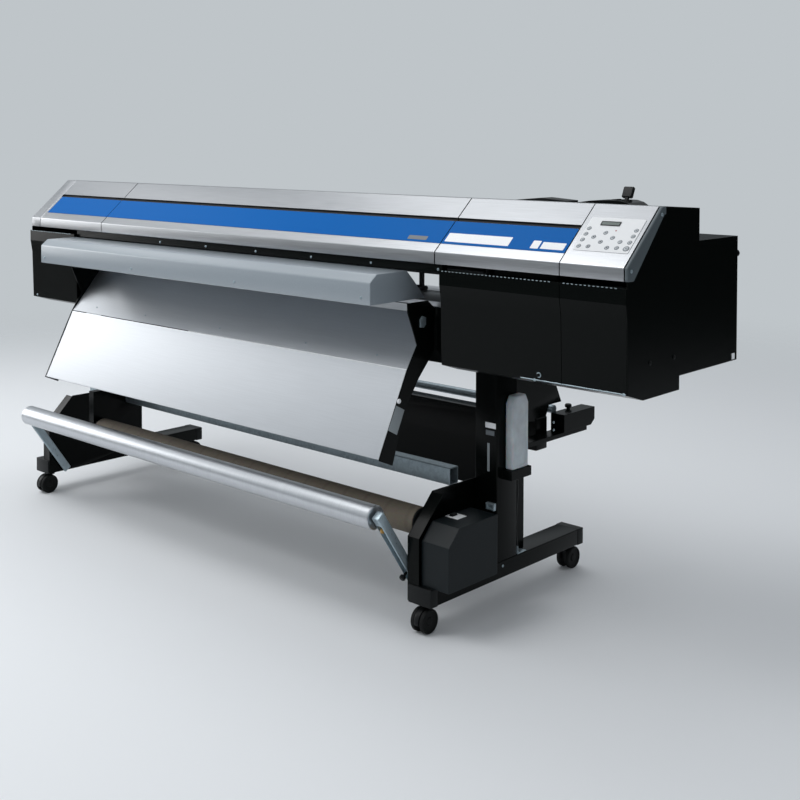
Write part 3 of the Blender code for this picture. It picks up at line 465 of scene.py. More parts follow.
def soften(obj, width, segments=2, angle=35):
    return work(obj, "BEVEL", width=width, segments=segments, limit_method="ANGLE",
                angle_limit=radians(angle))


def face_out(obj):
    """Turns every face outwards, on a closed shape."""
    pick(obj, "FACE", lambda face: True)
    bpy.ops.mesh.normals_make_consistent(inside=False)
    leave_edit()
    return obj


def block(name, x, y, z, edge=0.0, segments=2):
    """A block between its low and high ranges, with its edges eased."""
    clear_selection()
    low = Vector((min(x), min(y), min(z)))
    high = Vector((max(x), max(y), max(z)))
    bpy.ops.mesh.primitive_cube_add(size=1, location=(low + high) / 2, scale=high - low)
    obj = apply_place(named(name))
    return soften(obj, edge, segments) if edge else obj


def bar(name, start, end, radius, edge=0.0, sides=32):
    """A round bar from one point to another."""
    clear_selection()
    start, end = Vector(start), Vector(end)
    run = end - start
    turn = run.to_track_quat("Z", "Y").to_euler()
    bpy.ops.mesh.primitive_cylinder_add(vertices=sides, radius=radius, depth=run.length,
                                        location=(start + end) / 2, rotation=turn)
    obj = apply_place(named(name))
    return soften(obj, edge, 2, 50) if edge else obj


def outline_plate(name, outline, x, edge=0.0, segments=2):
    """A flat plate across X: one vertex extruded round its (depth, height) outline,
    filled, and drawn out to its thickness."""
    clear_selection()
    bpy.ops.mesh.primitive_plane_add(size=MM)
    obj = named(name)
    pick(obj, "VERT", lambda vert: vert.index > 0)
    bpy.ops.mesh.delete(type="VERT")
    bpy.ops.mesh.select_all(action="SELECT")
    first = Vector((min(x), back(outline[0][0]), outline[0][1]))
    bpy.ops.transform.translate(value=first + Vector((MM / 2, MM / 2, 0)))
    for (depth, height), (was, before) in zip(outline[1:], outline):
        bpy.ops.mesh.extrude_vertices_move(
            TRANSFORM_OT_translate={"value": (0, depth - was, height - before)})
    bpy.ops.mesh.select_all(action="SELECT")
    bpy.ops.mesh.edge_face_add()
    bpy.ops.mesh.extrude_region_move(
        TRANSFORM_OT_translate={"value": (abs(x[1] - x[0]), 0, 0)})
    leave_edit()
    face_out(obj)
    return soften(obj, edge, segments) if edge else obj


def bent_sheet(name, x, folds, thickness=SHEET, radius=None, tight=()):
    """Sheet bent along X.  The (depth, height) folds keep the outside on their left, seen
    from the +X end; a plane is the first leaf and each further leaf is extruded.  The
    folds numbered in tight get the least radius."""
    clear_selection()
    points = [Vector((0.0, back(depth), height)) for depth, height in folds]
    run = points[1] - points[0]
    bpy.ops.mesh.primitive_plane_add(
        size=1, location=(points[0] + points[1]) / 2 + Vector(((x[0] + x[1]) / 2, 0, 0)),
        rotation=(atan2(run.z, run.y), 0, 0))
    obj = named(name)
    obj.scale = (abs(x[1] - x[0]), run.length, 1)
    apply_place(obj)

    def along(point):
        return lambda edge: abs(middle_of(edge).y - point.y) < 1e-5 \
            and abs(middle_of(edge).z - point.z) < 1e-5

    pick(obj, "EDGE", along(points[1]))
    for before, after in zip(points[1:], points[2:]):
        bpy.ops.mesh.extrude_edges_move(TRANSFORM_OT_translate={"value": after - before})
    leave_edit()
    bend = sizes().bend if radius is None else radius
    for index, point in enumerate(points[1:-1], 1):
        pick(obj, "EDGE", along(point))
        bpy.ops.mesh.bevel(offset=0.5 * MM if index in tight else bend, segments=3,
                           affect="EDGES")
        leave_edit()
    return work(obj, "SOLIDIFY", thickness=thickness, offset=-1.0, use_even_offset=True)


def slope_plate(name, x, distance, lift, corner=0.0, edge=0.0):
    """A thin plate lying on the sloped front, between two distances up it."""
    clear_selection()
    middle = on_slope((x[0] + x[1]) / 2, (distance[0] + distance[1]) / 2,
                      (lift[0] + lift[1]) / 2)
    bpy.ops.mesh.primitive_cube_add(size=1, scale=(abs(x[1] - x[0]), distance[1] - distance[0],
                                                   lift[1] - lift[0]))
    obj = apply_place(named(name))
    if corner:
        pick(obj, "EDGE", lambda side: abs(side.verts[0].co.z - side.verts[1].co.z) > 1e-6)
        bpy.ops.mesh.bevel(offset=corner, segments=4, affect="EDGES")
        leave_edit()
    if edge:
        soften(obj, edge, 1, 60)
    obj.location = middle
    obj.rotation_euler.x = SLOPE
    return apply_place(obj)


def disc_stack(name, rings, sides=28):
    """A turned shape from a disc: each (radius, height) ring is extruded from the last."""
    clear_selection()
    bpy.ops.mesh.primitive_circle_add(vertices=sides, radius=rings[0][0], fill_type="NGON",
                                      location=(0, 0, rings[0][1]))
    obj = apply_place(named(name))
    pick(obj, "FACE", lambda face: True)
    for (radius, height), (was, before) in zip(rings[1:], rings):
        bpy.ops.mesh.extrude_region_move(
            TRANSFORM_OT_translate={"value": (0, 0, height - before)})
        if abs(radius - was) > 1e-7:
            factor = radius / was
            bpy.ops.transform.resize(value=(factor, factor, 1), center_override=(0, 0, height))
    leave_edit()
    return face_out(obj)


def merge(name, *objs):
    clear_selection()
    for obj in objs:
        obj.select_set(True)
    bpy.context.view_layer.objects.active = objs[0]
    if len(objs) > 1:
        bpy.ops.object.join()
    return named(name)


def copies(name, pattern, places):
    """Copies of a pattern at (place, direction) pairs, its Z turned to the direction."""
    made = []
    for place, direction in places:
        twin = pattern.copy()
        twin.data = pattern.data.copy()
        bpy.context.collection.objects.link(twin)
        turn = Vector(direction).to_track_quat("Z", "Y").to_matrix().to_4x4()
        twin.matrix_world = Matrix.Translation(Vector(place)) @ turn
        made.append(apply_place(twin))
    bpy.data.objects.remove(pattern)
    return merge(name, *made)


def cut_with(obj, *tools):
    for tool in tools:
        work(obj, "BOOLEAN", operation="DIFFERENCE", solver="EXACT", object=tool)
        bpy.data.objects.remove(tool)
    return obj


def body_of(node):
    return frame["nodes"][node].parent.name.split(":")[1]


def settle(obj, material, slot, replaces=(), angle=35, body=None):
    """Puts the finished piece at the origin, shades it, paints it and hands it over, on
    the body of the frame's piece whose slot it takes, unless another is named."""
    body = body or body_of(slot)
    apply_place(obj)
    bpy.ops.object.shade_smooth_by_angle(angle=radians(angle))
    obj.data.materials.clear()
    obj.data.materials.append(finish(material))
    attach(obj, body)
    if replaces:
        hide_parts(*replaces)
    return obj


def turned(name, rings, sides, places, material, slot, replaces=()):
    """Turned pieces at (place, direction) pairs, handed over as one."""
    return settle(copies(name, disc_stack("turned", rings, sides), places), material, slot,
                  replaces)


def screws(name, places, slot, material="zinc", radius=None):
    """Pan-head screws: rounded heads with a recess sunk in their middles."""
    radius = radius or sizes().screw
    return turned(name, [(radius, -0.0004), (radius, radius * 0.25),
                         (radius * 0.8, radius * 0.5), (radius * 0.35, radius * 0.55),
                         (radius * 0.25, radius * 0.2)], 12, places, material, slot)


# ---- the pieces ---------------------------------------------------------------------------
def eased(node, material, width=0.0012, segments=2, angle=35, smooth=18):
    """A merged copy of a frame piece with its sharp edges rounded; it stands for it."""
    clear_selection()
    copy = bpy.data.objects.new(node + "_finished", frame["nodes"][node].data.copy())
    bpy.context.collection.objects.link(copy)
    pick(copy, "VERT", lambda vert: True)
    bpy.ops.mesh.remove_doubles(threshold=1e-5)
    bpy.ops.mesh.tris_convert_to_quads(face_threshold=radians(0.5),
                                       shape_threshold=radians(180))
    leave_edit()
    soften(copy, width, segments, angle)
    return settle(copy, material, node, (node,), smooth)


class CUTTER_OT_finish_frame(bpy.types.Operator):
    """Give every piece of the frame the finish of its real material: black powder coat,
    unless another is named"""
    bl_idname = "cutter.finish_frame"
    bl_label = "Frame Finishes"

    FINISHES = {
        "steel": ("left_top_cover", "front_cover", "right_top_cover",
                  "control_panel_housing"),
        "film": ("left_blue_strip", "front_blue_strip", "right_blue_strip"),
        "keypad": ("control_panel_overlay",),
        "enamel": ("dryer_hood",),
        "alloy": ("front_platen", "rear_platen", "apron_lower", "apron_upper",
                  "carriage_rail"),
        "turned": ("dancer_roller", "grit_roller"),
        "galvanised": ("cross_beam", "media_bar"),
        "zinc": ("dancer_frame", "core_bracket_left"),
        "board": ("core_tube",),
        "bottle": ("waste_bottle",),
        "grey": ("left_end_cap", "right_end_cap"),
        "pinch": ("pinch_roller_bar",),
        "black": ("core_chuck_left", "core_chuck_right", "motor_switch",
                  "loading_lever", "tool_holder", "print_carriage"),
        "tread": tuple(f"caster_wheel_{side}_{end}" for side in ("left", "right")
                       for end in ("front", "rear")),
    }

    def execute(self, context):
        named_nodes = set()
        for name, nodes in self.FINISHES.items():
            paint_nodes(name, *nodes)
            named_nodes.update(nodes)
        paint_nodes("paint", *(node for node in frame["nodes"] if node not in named_nodes))
        return {"FINISHED"}


class CUTTER_OT_add_top_covers(bpy.types.Operator):
    """Fold the stainless top covers, with a near-black channel along their slope as painted
    shade in the groove
    """
    bl_idname = "cutter.add_top_covers"
    bl_label = "Top Covers"

    def execute(self, context):
        top = COVER_LOW.z + LIP
        rear = SLOPE_RUN + LAND
        folds = [(0.016, COVER_LOW.z), (0.0, COVER_LOW.z), (0.0, top),
                 (SLOPE_RUN, COVER_HIGH.z), (rear, COVER_HIGH.z), (rear, COVER_HIGH.z - 0.012)]
        for node, grooved in (("left_top_cover", True), ("front_cover", True),
                              ("right_top_cover", True), ("control_panel_housing", False)):
            low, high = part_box(node)
            gap = SEAM * (1.0 if node == "front_cover" else 0.5)
            x = (low.x + gap, high.x - gap)
            cover = bent_sheet(node + "_sheet", x, folds)
            if grooved:
                slot = slope_plate("slot", (x[0] - 0.002, x[1] + 0.002), GROOVE,
                                   (-0.01, 0.01))
                cut_with(cover, slot)
                # the channel behind the slot is painted near-black: painted shade for the
                # groove's recess
                channel = slope_plate(node + "_channel", (x[0] - 0.0004, x[1] + 0.0004),
                                      (GROOVE[0] - 0.004, GROOVE[1] + 0.004),
                                      (-0.0085, -SHEET - 0.0002))
                trough = slope_plate("trough", (x[0] - 0.01, x[1] + 0.01), GROOVE,
                                     (-0.0068, 0.0))
                cut_with(channel, trough)
                settle(channel, "dark", node)
            settle(cover, "steel", node, (node,))
        return {"FINISHED"}


class CUTTER_OT_add_end_caps(bpy.types.Operator):
    """Round the moulded end caps and screw the right one on"""
    bl_idname = "cutter.add_end_caps"
    bl_label = "End Caps"

    def execute(self, context):
        eased("left_end_cap", "steel", 0.0022, 3)
        eased("right_end_cap", "grey", 0.0035, 4)
        screws("end_cap_screws", [((RIGHT, back(0.0155), 1.0935), (1, 0, 0)),
                                  ((RIGHT, back(0.1660), 1.2330), (1, 0, 0))],
               "right_end_cap", radius=0.005)
        return {"FINISHED"}


class CUTTER_OT_add_body_shell(bpy.types.Operator):
    """Ease the painted covers of the body and fit their fasteners"""
    bl_idname = "cutter.add_body_shell"
    bl_label = "Body Shell"

    def execute(self, context):
        for node in ("left_lower_cover", "right_lower_cover_inner",
                     "right_lower_cover_outer"):
            eased(node, "paint", 0.0006, 2, 35, 4)
        for node in ("left_side_panel", "right_side_panel", "rear_top_cover", "rear_box",
                     "front_rail", "chassis_beam"):
            eased(node, "paint", 0.001, 2, 35, 4)
        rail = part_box("front_rail")[0]
        rail_screws = [((x, rail.y, 1.0515), (0, -1, 0))
                       for x in (-0.5575, -0.2885, -0.0185, 0.2545, 0.5235, 0.7965)]
        screws("front_rail_screws", rail_screws, "front_rail")
        self.add_perforated_edge()
        self.add_underside_edge()
        side = [((RIGHT, -0.1621, 0.8447), (1, 0, 0)), ((RIGHT, -0.0381, 0.8441), (1, 0, 0))]
        screws("side_panel_screws", side, "right_side_panel", "black", 0.006)
        clip = block("side_clip", (RIGHT, RIGHT + 0.003), (0.290, 0.306), (0.793, 0.811),
                     0.0012)
        settle(clip, "label", "right_side_panel")
        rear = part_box("rear_box")[1]
        turned("rear_box_knob", [(0.005, 0), (0.005, 0.006), (0.010, 0.007), (0.011, 0.009),
                                 (0.011, 0.015), (0.009, 0.018)], 20,
               [((rear.x - 0.008, rear.y, 1.10), (0, 1, 0))], "black", "rear_box")
        left = [((-1.376, -0.2885, 0.787), (0, -1, 0))]
        screws("left_cover_screws", left, "left_lower_cover")
        return {"FINISHED"}

    def add_perforated_edge(self):
        """The punched upper edge of the lower covers, which shows as a dotted line: the teeth
        are its shape, their bright zinc is painted highlight.
        """
        pitch = 0.0135
        for node in ("right_lower_cover_inner", "right_lower_cover_outer",
                     "left_lower_cover"):
            low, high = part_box(node)
            count = int((high.x - low.x - 0.02) / pitch)
            # bright zinc teeth on the black covers: painted highlight of the light that the
            # punched edge catches
            tooth = block("tooth", (-0.0032, 0.0032), (-0.0008, 0.0006), (-0.0011, 0.0011),
                          0.0003, 1)
            places = [((low.x + 0.012 + pitch * index, low.y + 0.0004, high.z - 0.0008),
                       (0, 0, 1)) for index in range(count)]
            settle(copies(node + "_teeth", tooth, places), "zinc", node)

    def add_underside_edge(self):
        """The folded edge under the right bay, with its catch and two screws; a bright zinc
        strip along the fold is painted highlight.
        """
        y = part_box("right_side_panel")[0].y + 0.0118
        for node, x in (("right_lower_cover_inner", (1.100, 1.2352)),
                        ("right_lower_cover_outer", (1.2368, RIGHT - 0.006))):
            # bright zinc strip on the black fold: painted highlight of the light that the fold
            # catches
            strip = block(node + "_trim", x, (y - 0.0012, y + 0.0004), (0.7745, 0.7772),
                          0.0004, 1)
            settle(strip, "zinc", node)
        catch = [((1.1612, -0.2681, 0.7903), (0, -1, 0))]
        turned("catch_ring", [(0.0075, 0), (0.0075, 0.0015), (0.0055, 0.0022),
                              (0.0050, 0.0008)], 20, catch, "zinc",
               "right_lower_cover_inner")
        turned("catch_knob", [(0.0046, 0), (0.0046, 0.007), (0.0035, 0.009)], 16, catch,
               "black", "right_lower_cover_inner")
        screws("underside_screws", [((1.1467, -0.2681, 0.7751), (0, -1, 0)),
                                    ((1.4300, -0.2681, 0.7751), (0, -1, 0))],
               "right_lower_cover_outer")


class CUTTER_OT_add_control_panel(bpy.types.Operator):
    """Lay the keypad on the slope, with its keys, display and lamp"""
    bl_idname = "cutter.add_control_panel"
    bl_label = "Control Panel"

    PITCH = 0.0294
    COLUMNS = ((0.064, 0.088, 0.110, 0.1315), (0.0647, 0.1007), (0.0839, 0.1183),
               (0.0643, 0.1013), (0.0658, 0.0883), (0.0655, 0.0883, 0.1113, 0.1329))
    ARROWS = {(1, 0): 180, (1, 1): 0, (2, 0): 270, (3, 0): 90}
    LARGE = (5, 0)

    def execute(self, context):
        low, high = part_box("control_panel_overlay")
        middle = (low.x + high.x) / 2
        overlay = slope_plate("keypad_face", (low.x, high.x), (0.049, 0.176),
                              (0.0003, 0.0012), 0.003, 0.0003)
        settle(overlay, "keypad", "control_panel_overlay", ("control_panel_overlay",))
        radius = sizes().key
        up = Vector((0, -sin(SLOPE), cos(SLOPE)))
        rings, keys, marks = [], [], []
        for column, heights in enumerate(self.COLUMNS):
            for row, distance in enumerate(heights):
                x = middle + (column - 2.5) * self.PITCH
                scale = 1.35 if (column, row) == self.LARGE else 1.0
                rings.append((on_slope(x, distance, 0.0012), scale))
                keys.append((on_slope(x, distance, 0.0014), scale))
                marks.append((x, distance, column, row))
        for name, places, rim, lift, material in (
                ("key_rings", rings, 1.12, 0.0005, "key"),
                ("key_domes", keys, 0.80, 0.0009, "dome")):
            made = []
            for place, scale in places:
                size = radius * rim * scale
                dome = disc_stack("dome", [(size, 0), (size, lift * 0.5),
                                           (size * 0.86, lift)], 24)
                made.append(copies("dome", dome, [(place, up)]))
            settle(merge(name, *made), material, "control_panel_overlay")
        pad = []
        for x, distance, column, row in marks:
            if (column, row) in self.ARROWS:
                pad.append(self.arrow(x, distance, self.ARROWS[column, row]))
            else:
                pad.append(slope_plate("bar", (x - 0.0022, x + 0.0022),
                                       (distance - 0.0007, distance + 0.0007),
                                       (0.0022, 0.0025)))
        settle(merge("key_marks", *pad), "black", "control_panel_overlay")
        self.add_display(middle)
        return {"FINISHED"}

    def arrow(self, x, distance, angle):
        """A plain triangle on a cursor key."""
        clear_selection()
        bpy.ops.mesh.primitive_circle_add(vertices=3, radius=0.0032, fill_type="NGON")
        obj = apply_place(named("arrow"))
        pick(obj, "FACE", lambda face: True)
        bpy.ops.mesh.extrude_region_move(TRANSFORM_OT_translate={"value": (0, 0, 0.0003)})
        leave_edit()
        face_out(obj)
        obj.rotation_euler.z = radians(angle)
        apply_place(obj)
        obj.rotation_euler.x = SLOPE
        obj.location = on_slope(x, distance, 0.0022)
        return apply_place(obj)

    def add_display(self, middle):
        """The display: a bevelled bezel, the glass sunk in it, and a lamp below."""
        bezel = slope_plate("display_bezel", (1.2870, 1.3480), (0.1446, 0.1610),
                            (0.0012, 0.0030), 0.0015, 0.0004)
        up = Vector((0, -sin(SLOPE), cos(SLOPE)))
        pick(bezel, "FACE", lambda face: face.normal.dot(up) > 0.99)
        bpy.ops.mesh.inset(thickness=0.0018)
        bpy.ops.mesh.extrude_region_move(TRANSFORM_OT_translate={"value": -up * 0.0012})
        leave_edit()
        settle(bezel, "black", "control_panel_overlay")
        glass = slope_plate("display_window", (1.2888, 1.3462), (0.1464, 0.1592),
                            (0.0018, 0.0024), 0.0008, 0.0002)
        settle(glass, "display", "control_panel_overlay")
        turned("status_lamp", [(0.0022, 0), (0.0022, 0.0005), (0.0012, 0.0009)], 16,
               [(on_slope(1.3455, 0.128, 0.0012), up)], "lamp", "control_panel_overlay")


class CUTTER_OT_add_hood(bpy.types.Operator):
    """Fold the dryer hood, close its ends and fit its screws"""
    bl_idname = "cutter.add_hood"
    bl_label = "Dryer Hood"

    OUTLINE = [(-0.155, 0.9492), (-0.155, 1.0155), (-0.127, 1.038), (0.002, 1.039),
               (0.030, 1.011), (0.086, 0.9508)]

    def execute(self, context):
        low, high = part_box("dryer_hood")
        wall = 0.0022
        lip = [(-0.146, 0.9500), *self.OUTLINE]
        shell = bent_sheet("hood_shell", (low.x + wall, high.x - wall), lip, wall, 0.0045,
                           (1,))
        settle(shell, "enamel", "dryer_hood", ("dryer_hood",))
        for name, x in (("hood_end_left", (low.x, low.x + wall)),
                        ("hood_end_right", (high.x - wall, high.x))):
            end = outline_plate(name, self.OUTLINE, x, 0.0009, 2)
            settle(end, "enamel", "dryer_hood")
        places = [((x, back(-0.155), 0.969), (0, -1, 0))
                  for x in (-1.0875, -0.5105, 0.0615, 0.6375)]
        screws("hood_screws", places, "dryer_hood", radius=0.0042)
        return {"FINISHED"}


class CUTTER_OT_add_apron(bpy.types.Operator):
    """Roll the media apron's two sheets and ease the brackets that carry them"""
    bl_idname = "cutter.add_apron"
    bl_label = "Media Apron"

    def execute(self, context):
        low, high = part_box("apron_upper")
        upper = bent_sheet("apron_upper_sheet", (low.x, high.x),
                           [(-0.019, 0.7487), (-0.004, 0.766), (0.018, 0.792),
                            (0.040, 0.820), (0.072, 0.859), (0.104, 0.898),
                            (0.104, 0.921)], 0.0015, 0.010, (5,))
        settle(upper, "alloy", "apron_upper", ("apron_upper",))
        foot = Vector((-0.1407, 0.500))
        seam = Vector((-0.019, 0.749))
        start = seam + (foot - seam).normalized() * 0.0035
        lower = bent_sheet("apron_lower_sheet", (low.x, high.x),
                           [(-0.1227, 0.494), tuple(foot), tuple(start)], 0.0015, 0.002)
        settle(lower, "alloy", "apron_lower", ("apron_lower",))
        run = (Vector((0.018, 0.792)) - Vector((-0.004, 0.766))).normalized()
        out = (0, -run.y, run.x)
        places = [((x, back(0.000), 0.7708), out)
                  for x in (low.x + 0.14, low.x + 0.46, low.x + 0.90, high.x - 0.46,
                            high.x - 0.14)]
        screws("apron_rivets", places, "apron_upper", radius=0.003)
        for node in ("apron_bracket_left", "apron_bracket_right"):
            eased(node, "paint", 0.0008)
        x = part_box("apron_bracket_right")[1].x
        catch = outline_plate("bracket_catch", [(0.030, 0.868), (0.030, 0.892),
                                                (0.040, 0.902), (0.056, 0.896),
                                                (0.056, 0.874), (0.046, 0.866)],
                              (x, x + 0.005), 0.0012)
        settle(catch, "zinc", "apron_bracket_right")
        label = outline_plate("bracket_label", [(-0.0712, 0.6485), (-0.0354, 0.6301),
                                                (-0.0683, 0.5612), (-0.1058, 0.5813)],
                              (x + 0.0001, x + 0.0006), 0.0002)
        settle(label, "pale", "apron_bracket_right")
        turned("bracket_stud", [(0.0075, 0), (0.0075, 0.002), (0.005, 0.005)], 18,
               [((x, back(-0.060), 0.6600), (1, 0, 0))], "label", "apron_bracket_right")
        return {"FINISHED"}


class CUTTER_OT_add_stand(bpy.types.Operator):
    """Ease the stand's columns, feet and beam, with the fittings on the right column"""
    bl_idname = "cutter.add_stand"
    bl_label = "Stand"

    def execute(self, context):
        for node in ("column_left", "column_right", "foot_left", "foot_right"):
            eased(node, "paint", 0.0018)
        eased("cross_beam", "galvanised", 0.0018)
        for node in ("takeup_plate_left", "takeup_plate_right"):
            eased(node, "paint", 0.0010)
        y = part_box("column_right")[0].y
        for name, x, z, material in (
                ("column_label", (0.801, 0.8415), (0.5490, 0.5660), "label"),
                ("column_plate", (0.803, 0.8360), (0.5270, 0.5420), "key"),
                ("level_window", (0.809, 0.8180), (0.4150, 0.5020), "pale")):
            piece = block(name, x, (y - 0.0012, y - 0.0001), z, 0.0004)
            settle(piece, material, "column_right")
        clamp = block("column_clamp", (0.812, 0.844), (y - 0.012, y), (0.300, 0.322), 0.001)
        pick(clamp, "FACE", lambda face: face.normal.y < -0.9)
        bpy.ops.mesh.inset(thickness=0.004)
        bpy.ops.mesh.extrude_region_move(TRANSFORM_OT_translate={"value": (0, 0.006, 0)})
        leave_edit()
        settle(clamp, "zinc", "column_right")
        self.add_drain_tube()
        screws("foot_screws", [((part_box("foot_right")[1].x, -0.0179, 0.122), (1, 0, 0))],
               "foot_right")
        for side in ("left", "right"):
            low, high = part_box(f"foot_{side}")
            for end, y_range in (("front", (low.y - 0.0015, low.y + 0.03)),
                                 ("rear", (high.y - 0.03, high.y + 0.0015))):
                cap = block(f"foot_cap_{side}_{end}", (low.x - 0.001, high.x + 0.001),
                            y_range, (low.z - 0.001, high.z + 0.0004), 0.002, 3)
                settle(cap, "black", f"foot_{side}")
        return {"FINISHED"}

    def add_drain_tube(self):
        """The drain tube that comes down behind the right column to a clip on the foot."""
        clear_selection()
        bpy.ops.curve.primitive_bezier_curve_add()
        tube = bpy.context.view_layer.objects.active
        bpy.ops.object.mode_set(mode="EDIT")
        bpy.ops.curve.select_all(action="SELECT")
        bpy.ops.curve.delete(type="VERT")
        x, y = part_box("foot_right")[1].x - 0.012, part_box("column_right")[1].y - 0.014
        for sway, z in ((0.000, 0.392), (0.004, 0.340), (0.001, 0.280), (-0.003, 0.220),
                        (0.004, 0.165), (0.010, 0.142)):
            bpy.ops.curve.vertex_add(location=(x, y + sway, z))
        bpy.ops.curve.select_all(action="SELECT")
        bpy.ops.curve.handle_type_set(type="AUTOMATIC")
        leave_edit()
        tube.data.bevel_depth = 0.0045
        tube.data.bevel_resolution = 4
        tube.data.use_fill_caps = True
        bpy.ops.object.convert(target="MESH")
        tube = named("drain_tube")
        settle(tube, "black", "column_right")
        clip = block("drain_clip", (x - 0.014, x + 0.010), (y - 0.004, y + 0.040),
                     (0.1374, 0.1404), 0.0008)
        wall = block("clip_wall", (x - 0.014, x + 0.010), (y - 0.004, y - 0.001),
                     (0.1384, 0.1620), 0.0008)
        settle(merge("drain_clip", clip, wall), "zinc", "foot_right")


class CUTTER_OT_add_casters(bpy.types.Operator):
    """Build the twin-wheel casters: hooded swivels and treaded wheels"""
    bl_idname = "cutter.add_casters"
    bl_label = "Casters"

    def execute(self, context):
        for side in ("left", "right"):
            for end in ("front", "rear"):
                self.add_caster(side, end)
        return {"FINISHED"}

    def add_caster(self, side, end):
        wheel, fork = f"caster_wheel_{side}_{end}", f"caster_fork_{side}_{end}"
        low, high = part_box(wheel)
        axle = (low + high) / 2
        radius = axle.z = 0.036
        places = [((axle.x + way * 0.0102, axle.y, axle.z), (way, 0, 0)) for way in (-1, 1)]
        turned(wheel + "_pair", [(0.030, 0), (0.034, 0.0), (radius, 0.002), (radius, 0.0105),
                                 (0.0345, 0.0128), (0.0305, 0.0138), (0.0292, 0.0112),
                                 (0.0135, 0.0098), (0.0112, 0.0125), (0.0050, 0.0132)], 36,
               places, "tread", wheel, (wheel,))
        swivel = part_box(fork)
        centre = (swivel[0] + swivel[1]) / 2
        away = 1 if axle.y > centre.y else -1
        hood = [(axle.y - FRONT + 0.0375 * cos(angle) * away, axle.z + 0.0375 * sin(angle))
                for angle in (radians(-12 + 12 * step) for step in range(13))]
        hood += [(axle.y - FRONT - 0.026 * away, axle.z - 0.004),
                 (axle.y - FRONT + 0.026 * away, axle.z - 0.004)]
        shell = outline_plate("hood", hood, (axle.x - 0.0088, axle.x + 0.0088), 0.0015)
        plate = block("plate", (swivel[0].x, swivel[1].x), (swivel[0].y, swivel[1].y),
                      (swivel[1].z - 0.0030, swivel[1].z), 0.0014, 3)
        stem = disc_stack("stem", [(0.0125, 0.0), (0.0125, 0.0075), (0.0155, 0.0085),
                                   (0.0155, 0.0120)], 24)
        stem = copies("stem", stem, [((centre.x, centre.y, swivel[1].z - 0.0145),
                                      (0, 0, 1))])
        settle(merge(fork + "_hood", shell, plate, stem), "black", fork, (fork,))


class CUTTER_OT_add_takeup(bpy.types.Operator):
    """Build the take-up: core, chucks, motor box, switch and core bracket"""
    bl_idname = "cutter.add_takeup"
    bl_label = "Take-up Unit"

    def execute(self, context):
        eased("core_tube", "board", 0.0008, 2, 60, 35)
        for node in ("core_chuck_left", "core_chuck_right"):
            eased(node, "black", 0.0012, 2, 40, 35)
        eased("core_bracket_left", "paint", 0.0010)
        eased("motor_box", "casing", 0.0016, 2, 30, 4)
        eased("motor_switch", "black", 0.0010)
        low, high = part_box("motor_switch")
        ring = block("surround", (low.x - 0.008, high.x + 0.028),
                     (low.y - 0.009, high.y + 0.009), (low.z - 0.0006, low.z + 0.0016),
                     0.0005)
        cut_with(ring, block("hole", (low.x - 0.004, high.x + 0.004),
                             (low.y - 0.003, high.y + 0.003),
                             (low.z - 0.01, low.z + 0.01)))
        settle(ring, "label", "motor_switch", body=body_of("motor_box"))
        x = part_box("takeup_plate_left")[1].x - 0.0405
        places = [((x, back(depth), 0.2715), (1, 0, 0)) for depth in (0.263, 0.352)]
        screws("takeup_plate_screws", places, "takeup_plate_left", radius=0.0045)
        return {"FINISHED"}


class CUTTER_OT_add_dancer(bpy.types.Operator):
    """Turn the dancer roller and finish the arms that swing it"""
    bl_idname = "cutter.add_dancer"
    bl_label = "Dancer"

    def execute(self, context):
        low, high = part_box("dancer_roller")
        axis = (low + high) / 2
        radius = (high.z - low.z) / 2
        length = high.x - low.x
        turned("dancer_tube", [(0.014, 0.004), (0.0295, 0.003), (0.0305, 0.0), (0.0335, 0.0),
                               (radius, 0.0035), (radius, length - 0.0035), (0.0335, length),
                               (0.0305, length), (0.0295, length - 0.003),
                               (0.014, length - 0.004)], 64,
               [((low.x, axis.y, axis.z), (1, 0, 0))], "turned", "dancer_roller",
               ("dancer_roller",))
        eased("dancer_frame", "zinc", 0.0008)
        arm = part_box("dancer_frame")[1].x
        turned("dancer_nuts", [(0.0085, 0), (0.0092, 0.001), (0.0092, 0.005),
                               (0.0080, 0.0065), (0.004, 0.0065), (0.004, 0.009)], 6,
               [((high.x + 0.013, axis.y + 0.012, axis.z - 0.036), (1, 0, 0))], "brass",
               "dancer_frame")
        turned("dancer_stop", [(0.004, 0), (0.004, 0.016), (0.0085, 0.017),
                               (0.0095, 0.019), (0.0095, 0.026), (0.007, 0.029)], 20,
               [((arm - 0.020, -0.3320, 0.1600), (0, -0.82, -0.57))], "black",
               "dancer_frame")
        return {"FINISHED"}


class CUTTER_OT_add_roll_rack(bpy.types.Operator):
    """Finish the rear roll rack, its bar and the clamp knobs on its arms"""
    bl_idname = "cutter.add_roll_rack"
    bl_label = "Roll Rack"

    def execute(self, context):
        for node in ("rear_stay", "roll_arm_left", "roll_arm_right"):
            eased(node, "paint", 0.0014)
        low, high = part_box("media_bar")
        axis = (low + high) / 2
        length = high.x - low.x
        radius = (high.z - low.z) / 2
        turned("media_bar_drawn", [(radius * 0.5, 0.0), (radius * 0.85, 0.0),
                                   (radius, 0.002), (radius, length - 0.002),
                                   (radius * 0.85, length), (radius * 0.5, length)], 40,
               [((low.x, axis.y, axis.z), (1, 0, 0))], "galvanised", "media_bar",
               ("media_bar",))
        for side in ("left", "right"):
            low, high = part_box(f"roll_arm_{side}")
            place = ((low.x + high.x) / 2, 0.392, high.z)
            turned(f"roll_arm_knob_{side}", [(0.006, 0), (0.006, 0.005), (0.0105, 0.006),
                                             (0.0115, 0.008), (0.0115, 0.014),
                                             (0.009, 0.017)], 20, [(place, (0, 0, 1))],
                   "black", f"roll_arm_{side}")
        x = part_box("roll_arm_right")[1].x
        screws("roll_arm_screws", [((x, 0.2263 + 0.02, z), (1, 0, 0))
                                   for z in (0.520, 0.495)], "roll_arm_right")
        return {"FINISHED"}


